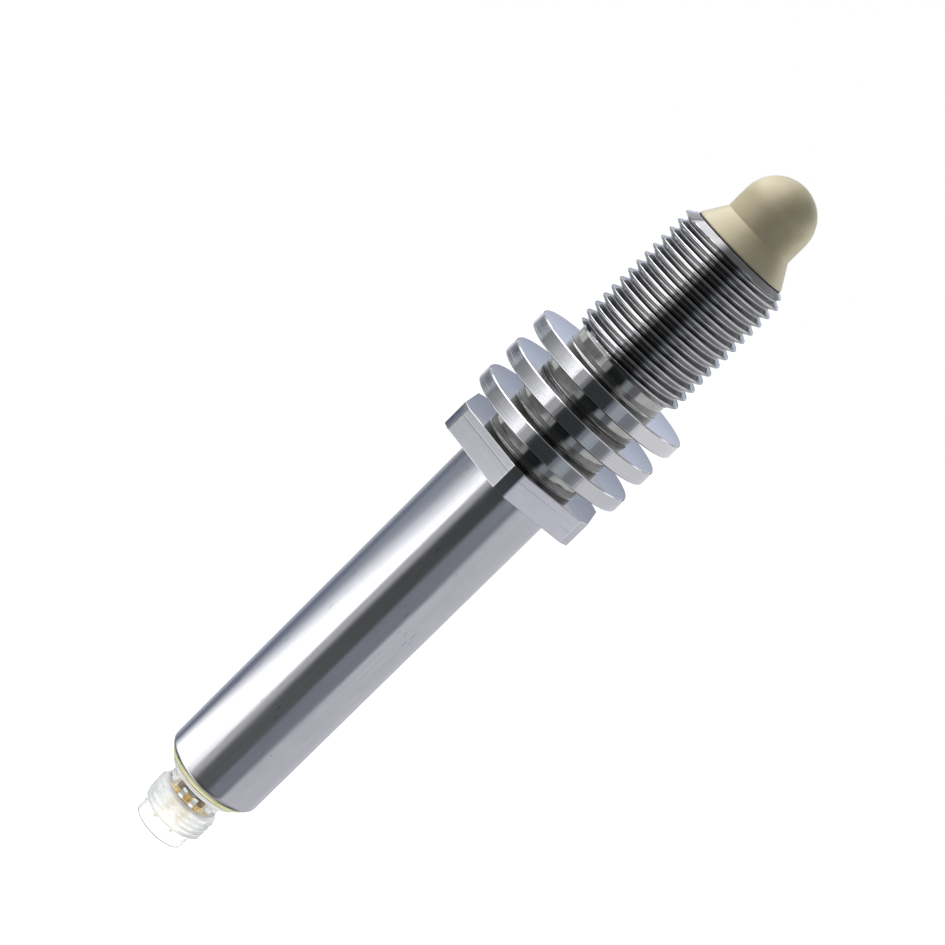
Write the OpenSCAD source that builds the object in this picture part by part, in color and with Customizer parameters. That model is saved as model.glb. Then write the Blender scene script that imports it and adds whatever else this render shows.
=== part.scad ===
// Capacitive proximity sensor for hot media: a plastic sensing tip on a threaded
// steel connection, cooling fins, a spanner hexagon, a long tube with the
// electronics, and a clear M12 plug connector at the rear.
// The sensor's axis is Z, with +Z towards the tip. The origin lies on the axis
// at the rear end of the process thread.
// Both threads are drawn as turned grooves at their true pitch and depth.

/* [Process thread] */
// Outside diameter of the process thread
thread_d = 20.955; // [20.4:0.005:24]
// Distance from one crest of the process thread to the next
thread_pitch = 1.814; // [1.6:0.002:2.2]
// Depth of the process thread on the radius
thread_depth = 1.162; // [0.9:0.002:1.3]
// Length of the process thread
thread_len = 24.7; // [20:0.1:32]
// Length of the lead-in chamfer at the thread's front end
lead_in = 1.1; // [0.7:0.1:1.6]
// Diameter of the steel end face that the tip sits on
end_face_d = 17.8; // [17.4:0.1:18.4]

/* [Neck and cooling fins] */
// Diameter of the neck between the fins
neck_d = 18; // [17.4:0.1:18.6]
// Length of bare neck between the thread and the first fin
relief_len = 2.9; // [2:0.1:5]
// Diameter of the fins, and of the bar that the hexagon is milled from
fin_d = 30; // [28.4:0.1:36]
// Thickness of one fin
fin_t = 2.8; // [2:0.1:4]
// Free gap between two fins
fin_gap = 3.25; // [2.6:0.05:5]
// Number of fins on the cooling body, behind the first one
rear_fins = 2; // [1:1:4]
// Chamfer on each fin's edges
fin_edge = 0.2; // [0.1:0.05:0.5]
// Radius in the corner between a neck and the fin's front face
neck_fillet = 0.4; // [0.2:0.05:0.8]
// Diameter of the core bore that runs through the neck
core_bore_d = 8; // [7.2:0.1:9]

/* [Weld seam] */
// Height of the weld bead along the axis
weld_h = 1.1; // [0.8:0.1:1.6]
// Height by which the bead stands out of the neck
weld_rise = 0.18; // [0.1:0.02:0.3]
// Diameter of the pilot that centres the two welded parts
pilot_d = 13; // [11.5:0.1:14]
// Length of the pilot
pilot_len = 3; // [2:0.1:5]

/* [Hexagon] */
// Width across the spanner flats
hex_af = 27; // [25:0.5:29]
// Thickness of the hexagon
hex_t = 4.8; // [4:0.1:8]

/* [Sensing tip] */
// Diameter of the tip's dome
tip_d = 12.8; // [11.6:0.1:14]
// Length of the tip in front of its gasket
tip_len = 13.9; // [12.5:0.1:20]
// Diameter of the tip's foot
foot_d = 17.4; // [16.6:0.1:17.6]
// Height of the foot's short straight edge
foot_edge = 0.2; // [0.1:0.05:0.6]
// Length of the cone from the foot to the dome's diameter
flare_len = 3.7; // [3:0.1:4.6]
// Radius where the cone meets the tip's straight part
flare_fillet = 0.3; // [0.1:0.05:1.2]
// Wall of the tip round the electrode
tip_wall = 1.6; // [1.2:0.1:2.2]
// Diameter of the tip's spigot inside the steel
spigot_d = 14.4; // [14:0.1:15.4]
// Length of the tip's spigot
spigot_len = 10; // [8:0.1:12]
// Thickness of the black gasket under the foot
gasket_t = 0.25; // [0.2:0.05:0.6]

/* [Electrodes and feedthrough] */
// Length of the guard electrode's head
guard_len = 7; // [4:0.1:8]
// Thickness of the spacer between guard and active electrode
spacer_t = 1.5; // [1:0.1:3]
// Diameter of the signal rod
rod_d = 1.5; // [1:0.1:2]
// Depth of the rod's hole in the active electrode
rod_grip = 4; // [3:0.1:6]
// Diameter of the insulating sleeve round the rod
rod_sleeve_d = 4; // [3.2:0.1:4.4]
// Diameter of the guard electrode's tube
guard_tube_d = 5.2; // [4.8:0.1:5.8]
// Thickness of the feed sleeve's head
feed_head_t = 1.5; // [1:0.1:2.5]
// Free play between the tip's spigot and the feed sleeve's head
end_play = 0.1; // [0.05:0.05:0.3]
// Diameter of the guard's lead
lead_d = 0.5; // [0.3:0.05:0.6]
// Length of rod and lead that lies on the board
lead_tail = 6; // [4:0.1:9]

/* [Housing tube] */
// Outside diameter of the housing tube
tube_d = 18; // [17.4:0.1:20]
// Wall of the housing tube
tube_wall = 0.95; // [0.8:0.05:1.3]
// Length of the housing tube behind the hexagon
tube_len = 70.5; // [62:0.5:120]
// Radius of the tube's rolled rear edge, more than its wall
tube_rim = 1.35; // [1.35:0.05:1.7]
// Length of the spigot inside the tube's front end
tube_spigot_len = 6; // [4:0.1:10]
// Wall of the insulating sleeve inside the tube
sleeve_wall = 0.5; // [0.3:0.05:0.8]

/* [Electronics] */
// Length of the front board holder
holder_len = 6; // [5:0.1:9]
// Depth of the guard tube's seat in the holder
holder_seat = 2; // [1:0.1:2.5]
// Depth of the board's slot in the holder
holder_slot = 3; // [2:0.1:3.4]
// Width of the main board
board_w = 13; // [12.6:0.1:13.2]
// Thickness of the main board
board_t = 1.2; // [0.8:0.1:1.6]
// Thickness of the round pin board
pin_board_t = 1; // [0.8:0.1:1.6]

/* [Rear cap] */
// Length of the rear cap
cap_len = 10; // [9:0.1:14]
// Length by which the rear cap stands out of the tube
cap_proud = 1; // [0.6:0.05:2.5]
// Chamfer on the rear cap's rear edge
cap_edge = 0.6; // [0.2:0.05:0.9]
// Section diameter of the seal ring round the rear cap
cap_ring_d = 1.3; // [1:0.05:1.4]

/* [Plug connector] */
// Outside diameter of the connector thread
plug_thread_d = 11.9; // [11.7:0.02:12.2]
// Distance from one crest of the connector thread to the next
plug_pitch = 1; // [0.8:0.05:1.25]
// Depth of the connector thread on the radius
plug_depth = 0.61; // [0.4:0.01:0.62]
// Length of the connector thread
plug_thread_len = 5; // [4:0.1:10]
// Chamfer at the connector thread's ends
plug_chamfer = 0.5; // [0.3:0.05:0.8]
// Diameter of the smooth nose
nose_d = 9.8; // [9.5:0.05:10.4]
// Length of the smooth nose
nose_len = 3; // [2:0.1:6]
// Diameter of the narrow neck behind the connector thread
plug_neck_d = 10.2; // [10:0.1:10.6]
// Length of the narrow neck
plug_neck_len = 2.9; // [2.6:0.05:5]
// Diameter of the flange that closes the rear cap
flange_d = 13.6; // [12.8:0.1:15]
// Thickness of the flange
flange_t = 0.95; // [0.8:0.05:2]
// Diameter of the shank inside the rear cap
shank_d = 11.4; // [11.2:0.05:11.6]
// Length of the shank
shank_len = 5.5; // [5:0.1:6.5]
// Diameter of the cavity that holds the pin carrier
cavity_d = 9; // [8.8:0.05:9.2]
// Diameter of the open socket
socket_d = 8.8; // [8.6:0.05:9]
// Depth of the open socket
socket_depth = 7; // [6:0.1:8]
// Thickness of the clear floor between socket and cavity
floor_t = 1.9; // [1.2:0.1:2.4]
// Width of the coding key in the socket
key_w = 1.2; // [0.8:0.1:1.6]
// Height of the coding key in the socket
key_h = 0.45; // [0.3:0.05:0.6]
// Section diameter of the seal ring round the shank
shank_ring_d = 0.8; // [0.6:0.05:0.9]

/* [Contact pins] */
// Diameter of one contact pin
pin_d = 1; // [0.8:0.05:1.1]
// Diameter of the circle through the four outer pins
pin_circle_d = 5; // [4.8:0.05:5.6]
// Distance from the nose's end back to the pins' ends
pin_recess = 1.3; // [0.6:0.1:2.5]
// Diameter of the collar that locks a pin in its carrier
collar_d = 1.5; // [1.3:0.05:1.6]
// Thickness of the pin carrier's disc
carrier_t = 1.6; // [1.2:0.1:3]
// Diameter of the carrier's boss between the outer pins
boss_d = 3.4; // [2.6:0.1:3.4]
// Length of the carrier's boss
boss_len = 1.9; // [1.2:0.1:2.4]

/* [Clearances] */
// Radial clearance of every slip fit
slip = 0.04; // [0.02:0.01:0.08]

/* [Hidden] */
$fn = 96;
ARC_STEPS = 8;
OUTER_PINS = 4;
// Half of the flank angle and the share of the pitch left as a crest flat
PIPE_FLANK = 27.5;
PIPE_CREST = 1 / 6;
METRIC_FLANK = 30;
METRIC_CREST = 1 / 8;
// How far a cutting tool runs past the face that it opens
cut = 1;
// Electronic components: size across the board, height, size along the board,
// then the place of their centre across the board and behind its front edge
sensing_size = [5, 1.5, 5];
sensing_at = [0, 13];
controller_size = [7, 1.2, 7];
controller_at = [0, 24];
regulator_size = [4.6, 1.8, 3.4];
regulator_at = [-2.6, 34];
driver_size = [5, 1.5, 4];
driver_at = [1.4, 42];
capacitor_size = [1.25, 1.1, 2];
capacitors_at = [[4.4, 12], [4.4, 16], [-4.4, 13], [3, 33], [3, 36]];
led_size = [1.6, 1.1, 3.2];
led_offset = 3;
led_setback = 2.6;

// Process connection, from the front backwards
thread_r = thread_d / 2;
end_face_r = end_face_d / 2;
neck_r = neck_d / 2;
fin_r = fin_d / 2;
core_r = core_bore_d / 2;
pilot_r = pilot_d / 2;
fin_pitch = fin_t + fin_gap;
function fin_top(i) = -relief_len - i * fin_pitch;
weld_z = fin_top(1) + weld_h / 2;
hex_top = fin_top(rear_fins + 1);
hex_bottom = hex_top - hex_t;

// Sensing tip and electrodes
tip_r = tip_d / 2;
foot_r = foot_d / 2;
spigot_r = spigot_d / 2;
foot_z = thread_len + gasket_t;
dome_z = foot_z + tip_len - tip_r;
spigot_end = foot_z - spigot_len;
pocket_r = spigot_r + slip;
head_top = spigot_end - end_play;
pocket_floor = head_top - feed_head_t;
chamber_r = tip_r - tip_wall;
guard_top = head_top + guard_len;
active_base = guard_top + spacer_t;
rod_r = rod_d / 2;
rod_top = active_base + rod_grip;
rod_sleeve_r = rod_sleeve_d / 2;
guard_tube_r = guard_tube_d / 2;
feed_bore_r = guard_tube_r + slip;

// Housing tube and what it holds
tube_r = tube_d / 2;
tube_bore_r = tube_r - tube_wall;
rim_turn = acos((tube_rim - tube_wall) / tube_rim);
tube_end = hex_bottom - tube_len;
spigot_face = hex_bottom - tube_spigot_len;
sleeve_r = tube_bore_r - slip;
sleeve_bore_r = sleeve_r - sleeve_wall;
holder_end = spigot_face - holder_len;
guard_end = spigot_face - holder_seat;
board_front = holder_end + holder_slot;
rod_end = board_front - lead_tail;
lead_r = lead_d / 2;
board_face = -rod_r;
lead_y = board_face + lead_r;
lead_ring_r = (rod_sleeve_r + guard_tube_r) / 2;
lead_x = sqrt(pow(lead_ring_r, 2) - pow(lead_y, 2));

// Rear cap and connector
cap_end = tube_end - cap_proud;
cap_r = tube_bore_r - slip;
cap_top = cap_end + cap_len;
shank_r = shank_d / 2;
cap_bore_r = shank_r + slip;
cap_ring_r = cap_ring_d / 2;
cap_ring_z = (tube_end + cap_top) / 2;
flange_r = flange_d / 2;
flange_end = cap_end - flange_t;
plug_thread_r = plug_thread_d / 2;
plug_thread_top = flange_end - plug_neck_len;
plug_thread_end = plug_thread_top - plug_thread_len;
plug_neck_r = plug_neck_d / 2;
nose_r = nose_d / 2;
nose_end = plug_thread_end - nose_len;
socket_r = socket_d / 2;
socket_floor = nose_end + socket_depth;
carrier_base = socket_floor + floor_t;
disc_base = carrier_base + boss_len;
boss_r = boss_d / 2;
cavity_r = cavity_d / 2;
shank_top = cap_end + shank_len;
shank_ring_r = shank_ring_d / 2;
shank_ring_z = (cap_end + shank_top) / 2;
board_end = shank_top + pin_board_t;
pin_r = pin_d / 2;
pin_tip = nose_end + pin_recess;
collar_r = collar_d / 2;
collar_h = carrier_t / 2;

// Points of an arc about (r, z) from angle a0 to angle a1
function arc(r, z, radius, a0, a1) = [
    for (k = [0:ARC_STEPS])
        let (a = a0 + (a1 - a0) * k / ARC_STEPS)
        [r + radius * cos(a), z + radius * sin(a)]
];

// Height at which pin i's collar sits: the middle pin's is in the carrier's boss
function collar_base(i) = i > OUTER_PINS ? carrier_base : disc_base;

// Outline of one fin seen from the axis outwards, rear face first
function fin_outline(top) = [
    [neck_r, top - fin_t],
    [fin_r - fin_edge, top - fin_t],
    [fin_r, top - fin_t + fin_edge],
    [fin_r, top - fin_edge],
    [fin_r - fin_edge, top]
];

// Concave corner between a neck and a face that looks forwards
function face_fillet(top) =
    arc(neck_r + neck_fillet, top + neck_fillet, neck_fillet, 270, 180);

// Ring between two radii and two heights
module ring(inner, outer, low, high) {
    rotate_extrude()
        translate([inner, low])
            square([outer - inner, high - low]);
}

// Solid rod between two heights
module rod(radius, low, high) {
    translate([0, 0, low])
        cylinder(r = radius, h = high - low);
}

// Flat outlines of thread grooves, with a crest centred on each pitch from start
module groove_outlines(radius, pitch, depth, flank, crest, start, end) {
    mouth = pitch * (1 - crest);
    root = mouth - 2 * depth * tan(flank);
    // The cutter's flanks go on to this height past the crests
    past = depth / 2;
    outer = mouth + 2 * past * tan(flank);
    for (k = [0:ceil((end - start) / pitch)])
        translate([radius, start + (k + 0.5) * pitch])
            polygon([
                [-depth, -root / 2],
                [past, -outer / 2],
                [past, outer / 2],
                [-depth, root / 2]
            ]);
}

// Place of contact pin i: four on a circle and the last in the middle
module at_pin(i) {
    if (i > OUTER_PINS)
        children();
    else
        rotate(45 + (i - 1) * 360 / OUTER_PINS)
            translate([pin_circle_d / 2, 0])
                children();
}

// Box of an electronic component that lies on the main board
module on_board(size, at) {
    translate([at[0] - size[0] / 2, board_face, board_front - at[1] - size[2] / 2])
        cube(size);
}

// Outside of the main board, grown by a clearance across it
module board_blank(grow, rear, front) {
    translate([-board_w / 2 - grow, board_face - board_t - grow, rear])
        cube([board_w + 2 * grow, board_t + 2 * grow, front - rear]);
}

module sensor_tip() {
    color([0.75, 0.72, 0.64])
    difference() {
        union() {
            rotate_extrude()
                polygon(concat(
                    [[0, spigot_end], [spigot_r, spigot_end], [spigot_r, foot_z]],
                    [[foot_r, foot_z], [foot_r, foot_z + foot_edge]],
                    flare_corner(),
                    [[tip_r, dome_z], [0, dome_z]]
                ));
            translate([0, 0, dome_z])
                sphere(r = tip_r);
        }
        rod(chamber_r, spigot_end - cut, dome_z);
        translate([0, 0, dome_z])
            sphere(r = chamber_r);
    }
}

// Rounded inner corner between the tip's cone and its straight part
function flare_corner() =
    let (
        slope = atan2(flare_len, foot_r - tip_r),
        turn = 90 - slope,
        reach = flare_fillet * tan(turn / 2),
        corner_z = foot_z + foot_edge + flare_len
    )
    arc(tip_r + flare_fillet, corner_z + reach, flare_fillet, 180 + turn, 180);

module tip_gasket() {
    color([0.06, 0.06, 0.06])
        ring(pocket_r, foot_r, thread_len, foot_z);
}

module active_electrode() {
    color([0.8, 0.62, 0.3])
    difference() {
        union() {
            rod(chamber_r - slip, active_base, dome_z);
            translate([0, 0, dome_z])
                sphere(r = chamber_r - slip);
        }
        translate([0, 0, active_base - 2 * chamber_r])
            cylinder(r = chamber_r, h = 2 * chamber_r);
        rod(rod_r + slip, active_base - cut, rod_top);
    }
}

module electrode_spacer() {
    color([0.93, 0.93, 0.9])
        ring(rod_r + slip, chamber_r - slip, guard_top, active_base);
}

module guard_electrode() {
    color([0.8, 0.62, 0.3])
    difference() {
        union() {
            rod(chamber_r - slip, head_top, guard_top);
            rod(guard_tube_r, guard_end, guard_top);
        }
        rod(rod_sleeve_r + slip, guard_end - cut, guard_top + cut);
    }
}

module signal_rod() {
    color([0.85, 0.66, 0.32])
        rod(rod_r, rod_end, rod_top);
}

module rod_sleeve() {
    color([0.93, 0.93, 0.9])
        ring(rod_r + slip, rod_sleeve_r, guard_end, guard_top);
}

module feed_sleeve() {
    color([0.86, 0.82, 0.72])
    difference() {
        union() {
            rod(pocket_r - slip, pocket_floor, head_top);
            rod(core_r - slip, spigot_face, head_top);
        }
        rod(feed_bore_r, spigot_face - cut, head_top + cut);
    }
}

module guard_lead() {
    color([0.85, 0.66, 0.32])
        translate([lead_x, lead_y])
            rod(lead_r, rod_end, guard_end);
}

module process_connection() {
    color([0.68, 0.69, 0.71])
    rotate_extrude()
    difference() {
        polygon(concat(
            [[core_r, weld_z - pilot_len], [pilot_r, weld_z - pilot_len]],
            [[pilot_r, weld_z], [neck_r - weld_h / 2, weld_z]],
            [[neck_r, weld_z + weld_h / 2]],
            fin_outline(fin_top(0)),
            face_fillet(fin_top(0)),
            [[neck_r, 0], [thread_r, 0], [thread_r, thread_len - lead_in]],
            [[end_face_r, thread_len], [pocket_r, thread_len]],
            [[pocket_r, pocket_floor], [core_r, pocket_floor]]
        ));
        groove_outlines(
            thread_r, thread_pitch, thread_depth, PIPE_FLANK, PIPE_CREST,
            0, thread_len - lead_in
        );
    }
}

module weld_seam() {
    half = weld_h / 2;
    // Radius of the bulge that stands weld_rise out of the neck
    bulge = (half * half + weld_rise * weld_rise) / (2 * weld_rise);
    swing = asin(half / bulge);
    color([0.62, 0.63, 0.66])
    rotate_extrude()
        polygon(concat(
            [[neck_r - half, weld_z]],
            arc(neck_r + weld_rise - bulge, weld_z, bulge, -swing, swing)
        ));
}

module cooling_body() {
    color([0.7, 0.71, 0.73])
    difference() {
        union() {
            rotate_extrude()
                polygon(concat(
                    [[0, hex_top], [neck_r, hex_top]],
                    [for (i = [rear_fins:-1:1]) each concat(
                        fin_outline(fin_top(i)),
                        i > 1 ? face_fillet(fin_top(i)) : [[neck_r, fin_top(i)]]
                    )],
                    [[neck_r - weld_h / 2, weld_z], [0, weld_z]]
                ));
            rotate_extrude()
                polygon(concat(
                    [[0, hex_top - hex_t / 2], [neck_r + neck_fillet, hex_top - hex_t / 2]],
                    face_fillet(hex_top),
                    [[0, hex_top + neck_fillet]]
                ));
            hexagon();
            rod(tube_bore_r - slip, spigot_face, hex_top - hex_t / 2);
        }
        rod(core_r, spigot_face - cut, weld_z + cut);
        rod(pilot_r + slip, weld_z - pilot_len - end_play, weld_z + cut);
    }
}

// Spanner hexagon milled from the round bar, with a corner on the -Y side
module hexagon() {
    intersection() {
        rod(fin_r, hex_bottom, hex_top);
        translate([0, 0, hex_bottom])
            rotate(30)
                cylinder(r = hex_af / 2 / cos(30), h = hex_t, $fn = 6);
    }
}

module housing_tube() {
    color([0.66, 0.68, 0.72])
    rotate_extrude()
        polygon(concat(
            arc(tube_r - tube_rim, tube_end + tube_rim * sin(rim_turn), tube_rim, -rim_turn, 0),
            [[tube_r, hex_bottom], [tube_bore_r, hex_bottom]]
        ));
}

module insulating_sleeve() {
    color([0.9, 0.9, 0.86])
        ring(sleeve_bore_r, sleeve_r, cap_top, spigot_face);
}

module front_holder() {
    color([0.2, 0.2, 0.22])
    difference() {
        rod(sleeve_bore_r - slip, holder_end, spigot_face);
        rod(feed_bore_r, guard_end, spigot_face + cut);
        rod(rod_r + slip, holder_end - cut, spigot_face);
        translate([lead_x, lead_y])
            rod(lead_r + slip, holder_end - cut, spigot_face);
        board_blank(slip, holder_end - cut, board_front);
    }
}

module main_board() {
    color([0.1, 0.36, 0.22])
        board_blank(0, board_end, board_front);
}

module sensing_chip() {
    color([0.09, 0.09, 0.1])
        on_board(sensing_size, sensing_at);
}

module controller_chip() {
    color([0.09, 0.09, 0.1])
        on_board(controller_size, controller_at);
}

module voltage_regulator() {
    color([0.09, 0.09, 0.1])
        on_board(regulator_size, regulator_at);
}

module output_driver() {
    color([0.09, 0.09, 0.1])
        on_board(driver_size, driver_at);
}

module chip_capacitors() {
    color([0.6, 0.5, 0.38])
        for (at = capacitors_at)
            on_board(capacitor_size, at);
}

// Light source beside the board's rear end, on side -1 or 1
module led(side) {
    on_board(led_size, [side * led_offset, board_front - board_end - led_setback]);
}

module power_led() {
    color([0.3, 0.85, 0.4])
        led(-1);
}

module switching_led() {
    color([0.95, 0.75, 0.2])
        led(1);
}

module pin_board() {
    color([0.1, 0.36, 0.22])
    difference() {
        rod(shank_r - slip, shank_top, board_end);
        for (i = [1:OUTER_PINS + 1])
            at_pin(i)
                rod(pin_r + slip, shank_top - cut, board_end + cut);
    }
}

module pin_carrier() {
    color([0.35, 0.36, 0.36])
    difference() {
        union() {
            rod(cavity_r - slip, disc_base, disc_base + carrier_t);
            rod(boss_r, carrier_base, disc_base + collar_h);
        }
        for (i = [1:OUTER_PINS + 1])
            at_pin(i) {
                rod(pin_r + slip, collar_base(i), disc_base + carrier_t + cut);
                rod(collar_r + slip, collar_base(i) - cut, collar_base(i) + collar_h);
            }
    }
}

module contact_pin(i) {
    color([0.9, 0.68, 0.22])
    at_pin(i) {
        rod(pin_r, pin_tip + pin_r, board_end);
        translate([0, 0, pin_tip + pin_r])
            sphere(r = pin_r);
        rod(collar_r, collar_base(i), collar_base(i) + collar_h);
    }
}

module connector_body() {
    color([0.86, 0.9, 0.86, 0.6])
    difference() {
        rotate_extrude()
        difference() {
            connector_outline();
            plug_grooves();
            translate([cap_bore_r - shank_ring_d, shank_ring_z - shank_ring_r])
                square([shank_ring_d + cut, shank_ring_d]);
        }
        rod(cavity_r, disc_base, shank_top + cut);
        rod(boss_r + slip, carrier_base, disc_base + cut);
        socket_space();
        for (i = [1:OUTER_PINS + 1])
            at_pin(i)
                rod(pin_r, socket_floor - cut, disc_base + cut);
    }
}

// Nose, thread, neck, flange and shank of the connector, solid to the axis
module connector_outline() {
    polygon([
        [0, nose_end],
        [nose_r, nose_end],
        [nose_r, plug_thread_end],
        [plug_thread_r - plug_chamfer, plug_thread_end],
        [plug_thread_r, plug_thread_end + plug_chamfer],
        [plug_thread_r, plug_thread_top - plug_chamfer],
        [plug_thread_r - plug_chamfer, plug_thread_top],
        [plug_neck_r, plug_thread_top],
        [plug_neck_r, flange_end],
        [flange_r, flange_end],
        [flange_r, cap_end],
        [shank_r, cap_end],
        [shank_r, shank_top],
        [0, shank_top]
    ]);
}

// Grooves of the connector thread, kept clear of its chamfered ends
module plug_grooves() {
    intersection() {
        groove_outlines(
            plug_thread_r, plug_pitch, plug_depth, METRIC_FLANK, METRIC_CREST,
            plug_thread_end, plug_thread_top
        );
        translate([0, plug_thread_end])
            square([plug_thread_d, plug_thread_len]);
    }
}

// Open space of the socket, less the coding key
module socket_space() {
    difference() {
        rod(socket_r, nose_end - cut, socket_floor);
        translate([-key_w / 2, socket_r - key_h, nose_end + pin_recess])
            cube([key_w, socket_r, socket_depth]);
    }
}

module shank_ring() {
    color([0.08, 0.08, 0.08])
    translate([0, 0, shank_ring_z])
        rotate_extrude()
            translate([cap_bore_r - shank_ring_r, 0])
                circle(r = shank_ring_r);
}

module rear_cap() {
    color([0.88, 0.88, 0.67])
    difference() {
        rotate_extrude()
            polygon([
                [cap_bore_r, cap_end],
                [cap_r - cap_edge, cap_end],
                [cap_r, cap_end + cap_edge],
                [cap_r, cap_top],
                [cap_bore_r, cap_top]
            ]);
        ring(
            tube_bore_r - cap_ring_d, tube_bore_r + cut,
            cap_ring_z - cap_ring_r, cap_ring_z + cap_ring_r
        );
        board_blank(slip, board_end, cap_top + cut);
    }
}

module cap_ring() {
    color([0.08, 0.08, 0.08])
    translate([0, 0, cap_ring_z])
        rotate_extrude()
            translate([tube_bore_r - cap_ring_r, 0])
                circle(r = cap_ring_r);
}

sensor_tip();
tip_gasket();
active_electrode();
electrode_spacer();
guard_electrode();
signal_rod();
rod_sleeve();
feed_sleeve();
guard_lead();
process_connection();
weld_seam();
cooling_body();
housing_tube();
insulating_sleeve();
front_holder();
main_board();
sensing_chip();
controller_chip();
voltage_regulator();
output_driver();
chip_capacitors();
power_led();
switching_led();
pin_board();
pin_carrier();
for (i = [1:OUTER_PINS + 1])
    contact_pin(i);
connector_body();
shank_ring();
rear_cap();
cap_ring();
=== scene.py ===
import math

import bmesh
import bpy
import numpy as np
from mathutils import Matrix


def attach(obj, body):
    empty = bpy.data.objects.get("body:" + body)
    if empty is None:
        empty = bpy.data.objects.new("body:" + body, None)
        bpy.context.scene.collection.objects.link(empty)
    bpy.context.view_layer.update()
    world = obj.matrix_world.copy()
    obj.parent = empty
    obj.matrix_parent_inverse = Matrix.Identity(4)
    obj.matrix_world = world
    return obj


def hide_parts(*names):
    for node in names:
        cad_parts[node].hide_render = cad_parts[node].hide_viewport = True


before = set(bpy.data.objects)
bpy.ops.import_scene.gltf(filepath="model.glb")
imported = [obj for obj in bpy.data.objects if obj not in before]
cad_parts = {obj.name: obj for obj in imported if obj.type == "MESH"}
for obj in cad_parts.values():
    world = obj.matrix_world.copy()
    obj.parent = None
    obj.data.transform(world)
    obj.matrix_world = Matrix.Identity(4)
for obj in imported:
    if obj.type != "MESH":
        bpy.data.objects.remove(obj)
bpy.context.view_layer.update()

# Sizes in millimetres. The axis is Z, the tip points up, and z = 0 is the rear
# end of the process thread. A name with _R is a radius, and one that ends in _Z,
# TOP, BOTTOM, FRONT, REAR, BASE, FLOOR or END is a height. The arcs of the necks'
# corners and of the thread's crest follow the highlights that they show. Points
# closer together than SAME_POINT, which is in metres, are merged.
MM = 0.001
NECK_R = 9.0
FIN_R = 15.0
FIN_T = 2.8
FIN_EDGE = 0.2
FIN_ROUND = 0.12
NECK_FILLET = 0.2
CORE_R = 4.0
THREAD_R = 10.4775
THREAD_PITCH = 1.814
THREAD_DEPTH = 1.162
THREAD_FLANK = 27.5
THREAD_CREST_ARC = 0.25
THREAD_FRONT = 24.7
THREAD_REAR = -0.35
THREAD_CREST_Z = 0.885
LEAD_IN = 1.1
RELIEF_SLOPE = 1.73
END_FACE_R = 8.9
POCKET_R = 7.24
POCKET_FLOOR = 13.35
FIN_TOPS = (-2.9, -8.95, -15.0)
FIN_STEP = FIN_TOPS[0] - FIN_TOPS[1]
HEX_TOP = -21.05
HEX_BOTTOM = -25.85
HEX_HALF = 13.5
HEX_EDGE = 0.12
HEX_RING_R = NECK_R + 1.2
WELD_Z = -8.4
WELD_HALF = 0.55
WELD_RISE = 0.18
WELD_BEADS = 66
PILOT_R = 6.5
PILOT_END = -11.4
PILOT_GAP = 0.04
PILOT_ROOM = 0.1
TUBE_R = 9.0
TUBE_BORE_R = 8.05
TUBE_END = -96.35
TUBE_RIM = 1.35
TUBE_SEAM_Z = -33.85
SPIGOT_R = 8.01
SPIGOT_END = -31.85
TIP_R = 6.4
DOME_Z = 32.45
FOOT_R = 8.7
FOOT_Z = 24.95
FOOT_EDGE = 0.2
FLARE_TOP = 28.85
TIP_SPIGOT_R = 7.2
TIP_SPIGOT_END = 14.95
CHAMBER_R = 4.8
PLUG_R = 5.95
PLUG_PITCH = 1.0
PLUG_DEPTH = 0.61
PLUG_FLANK = 30.0
PLUG_CREST_ARC = 0.06
PLUG_REAR = -106.2
PLUG_FRONT = -101.2
PLUG_CHAMFER = 0.5
PLUG_NECK_R = 5.1
NOSE_R = 4.9
NOSE_END = -109.2
FLANGE_R = 6.8
FLANGE_END = -98.3
CAP_END = -97.35
SHANK_R = 5.7
SHANK_TOP = -91.85
SHANK_RING_Z = -94.6
SHANK_GROOVE_R = 4.94
SHANK_GROOVE_HALF = 0.4
SOCKET_R = 4.4
SOCKET_FLOOR = -102.2
CAVITY_R = 4.5
DISC_BASE = -98.4
BOSS_BORE_R = 1.74
CARRIER_BASE = -100.3
KEY_H = 0.45
KEY_HALF = 0.6
KEY_START_Z = -107.9
TURN = 2 * math.pi
SAME_POINT = 2e-7


# Shapes


def rounded(corners, steps=6, support=0.04):
    """Outline through corners (radius, height, rounding).

    Each rounding is an arc tangent to both sides: from corner c the tangent
    points lie at rounding / tan(half the inner angle) along each side, and the
    arc's centre lies on the bisector. A support point on each side of an arc
    keeps the flat beyond it flat in shading.
    """
    line = np.array([c[:2] for c in corners], float)
    out = [line[0]]
    for k in range(1, len(corners) - 1):
        here = line[k]
        back = line[k - 1] - here
        ahead = line[k + 1] - here
        back_len = np.linalg.norm(back)
        ahead_len = np.linalg.norm(ahead)
        back = back / back_len
        ahead = ahead / ahead_len
        radius = corners[k][2] if len(corners[k]) > 2 else 0.0
        if radius <= 0:
            near = min(support, 0.2 * back_len)
            far = min(support, 0.2 * ahead_len)
            out += [here + near * back, here, here + far * ahead]
            continue
        half = 0.5 * math.acos(float(np.clip(back @ ahead, -1, 1)))
        reach = radius / math.tan(half)
        middle = back + ahead
        centre = here + middle / np.linalg.norm(middle) * radius / math.sin(half)
        start = here + back * reach - centre
        end = here + ahead * reach - centre
        angle = np.linspace(0, 1, steps + 1)[:, None]
        sweep = math.acos(float(np.clip(start @ end / radius**2, -1, 1)))
        arc = (np.sin((1 - angle) * sweep) * start + np.sin(angle * sweep) * end)
        arc = centre + arc / math.sin(sweep)
        near = min(support, 0.3 * max(back_len - reach, 0))
        far = min(support, 0.3 * max(ahead_len - reach, 0))
        out.append(arc[0] + near * back)
        out += list(arc)
        out.append(arc[-1] + far * ahead)
    out.append(line[-1])
    return np.array(out)


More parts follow.
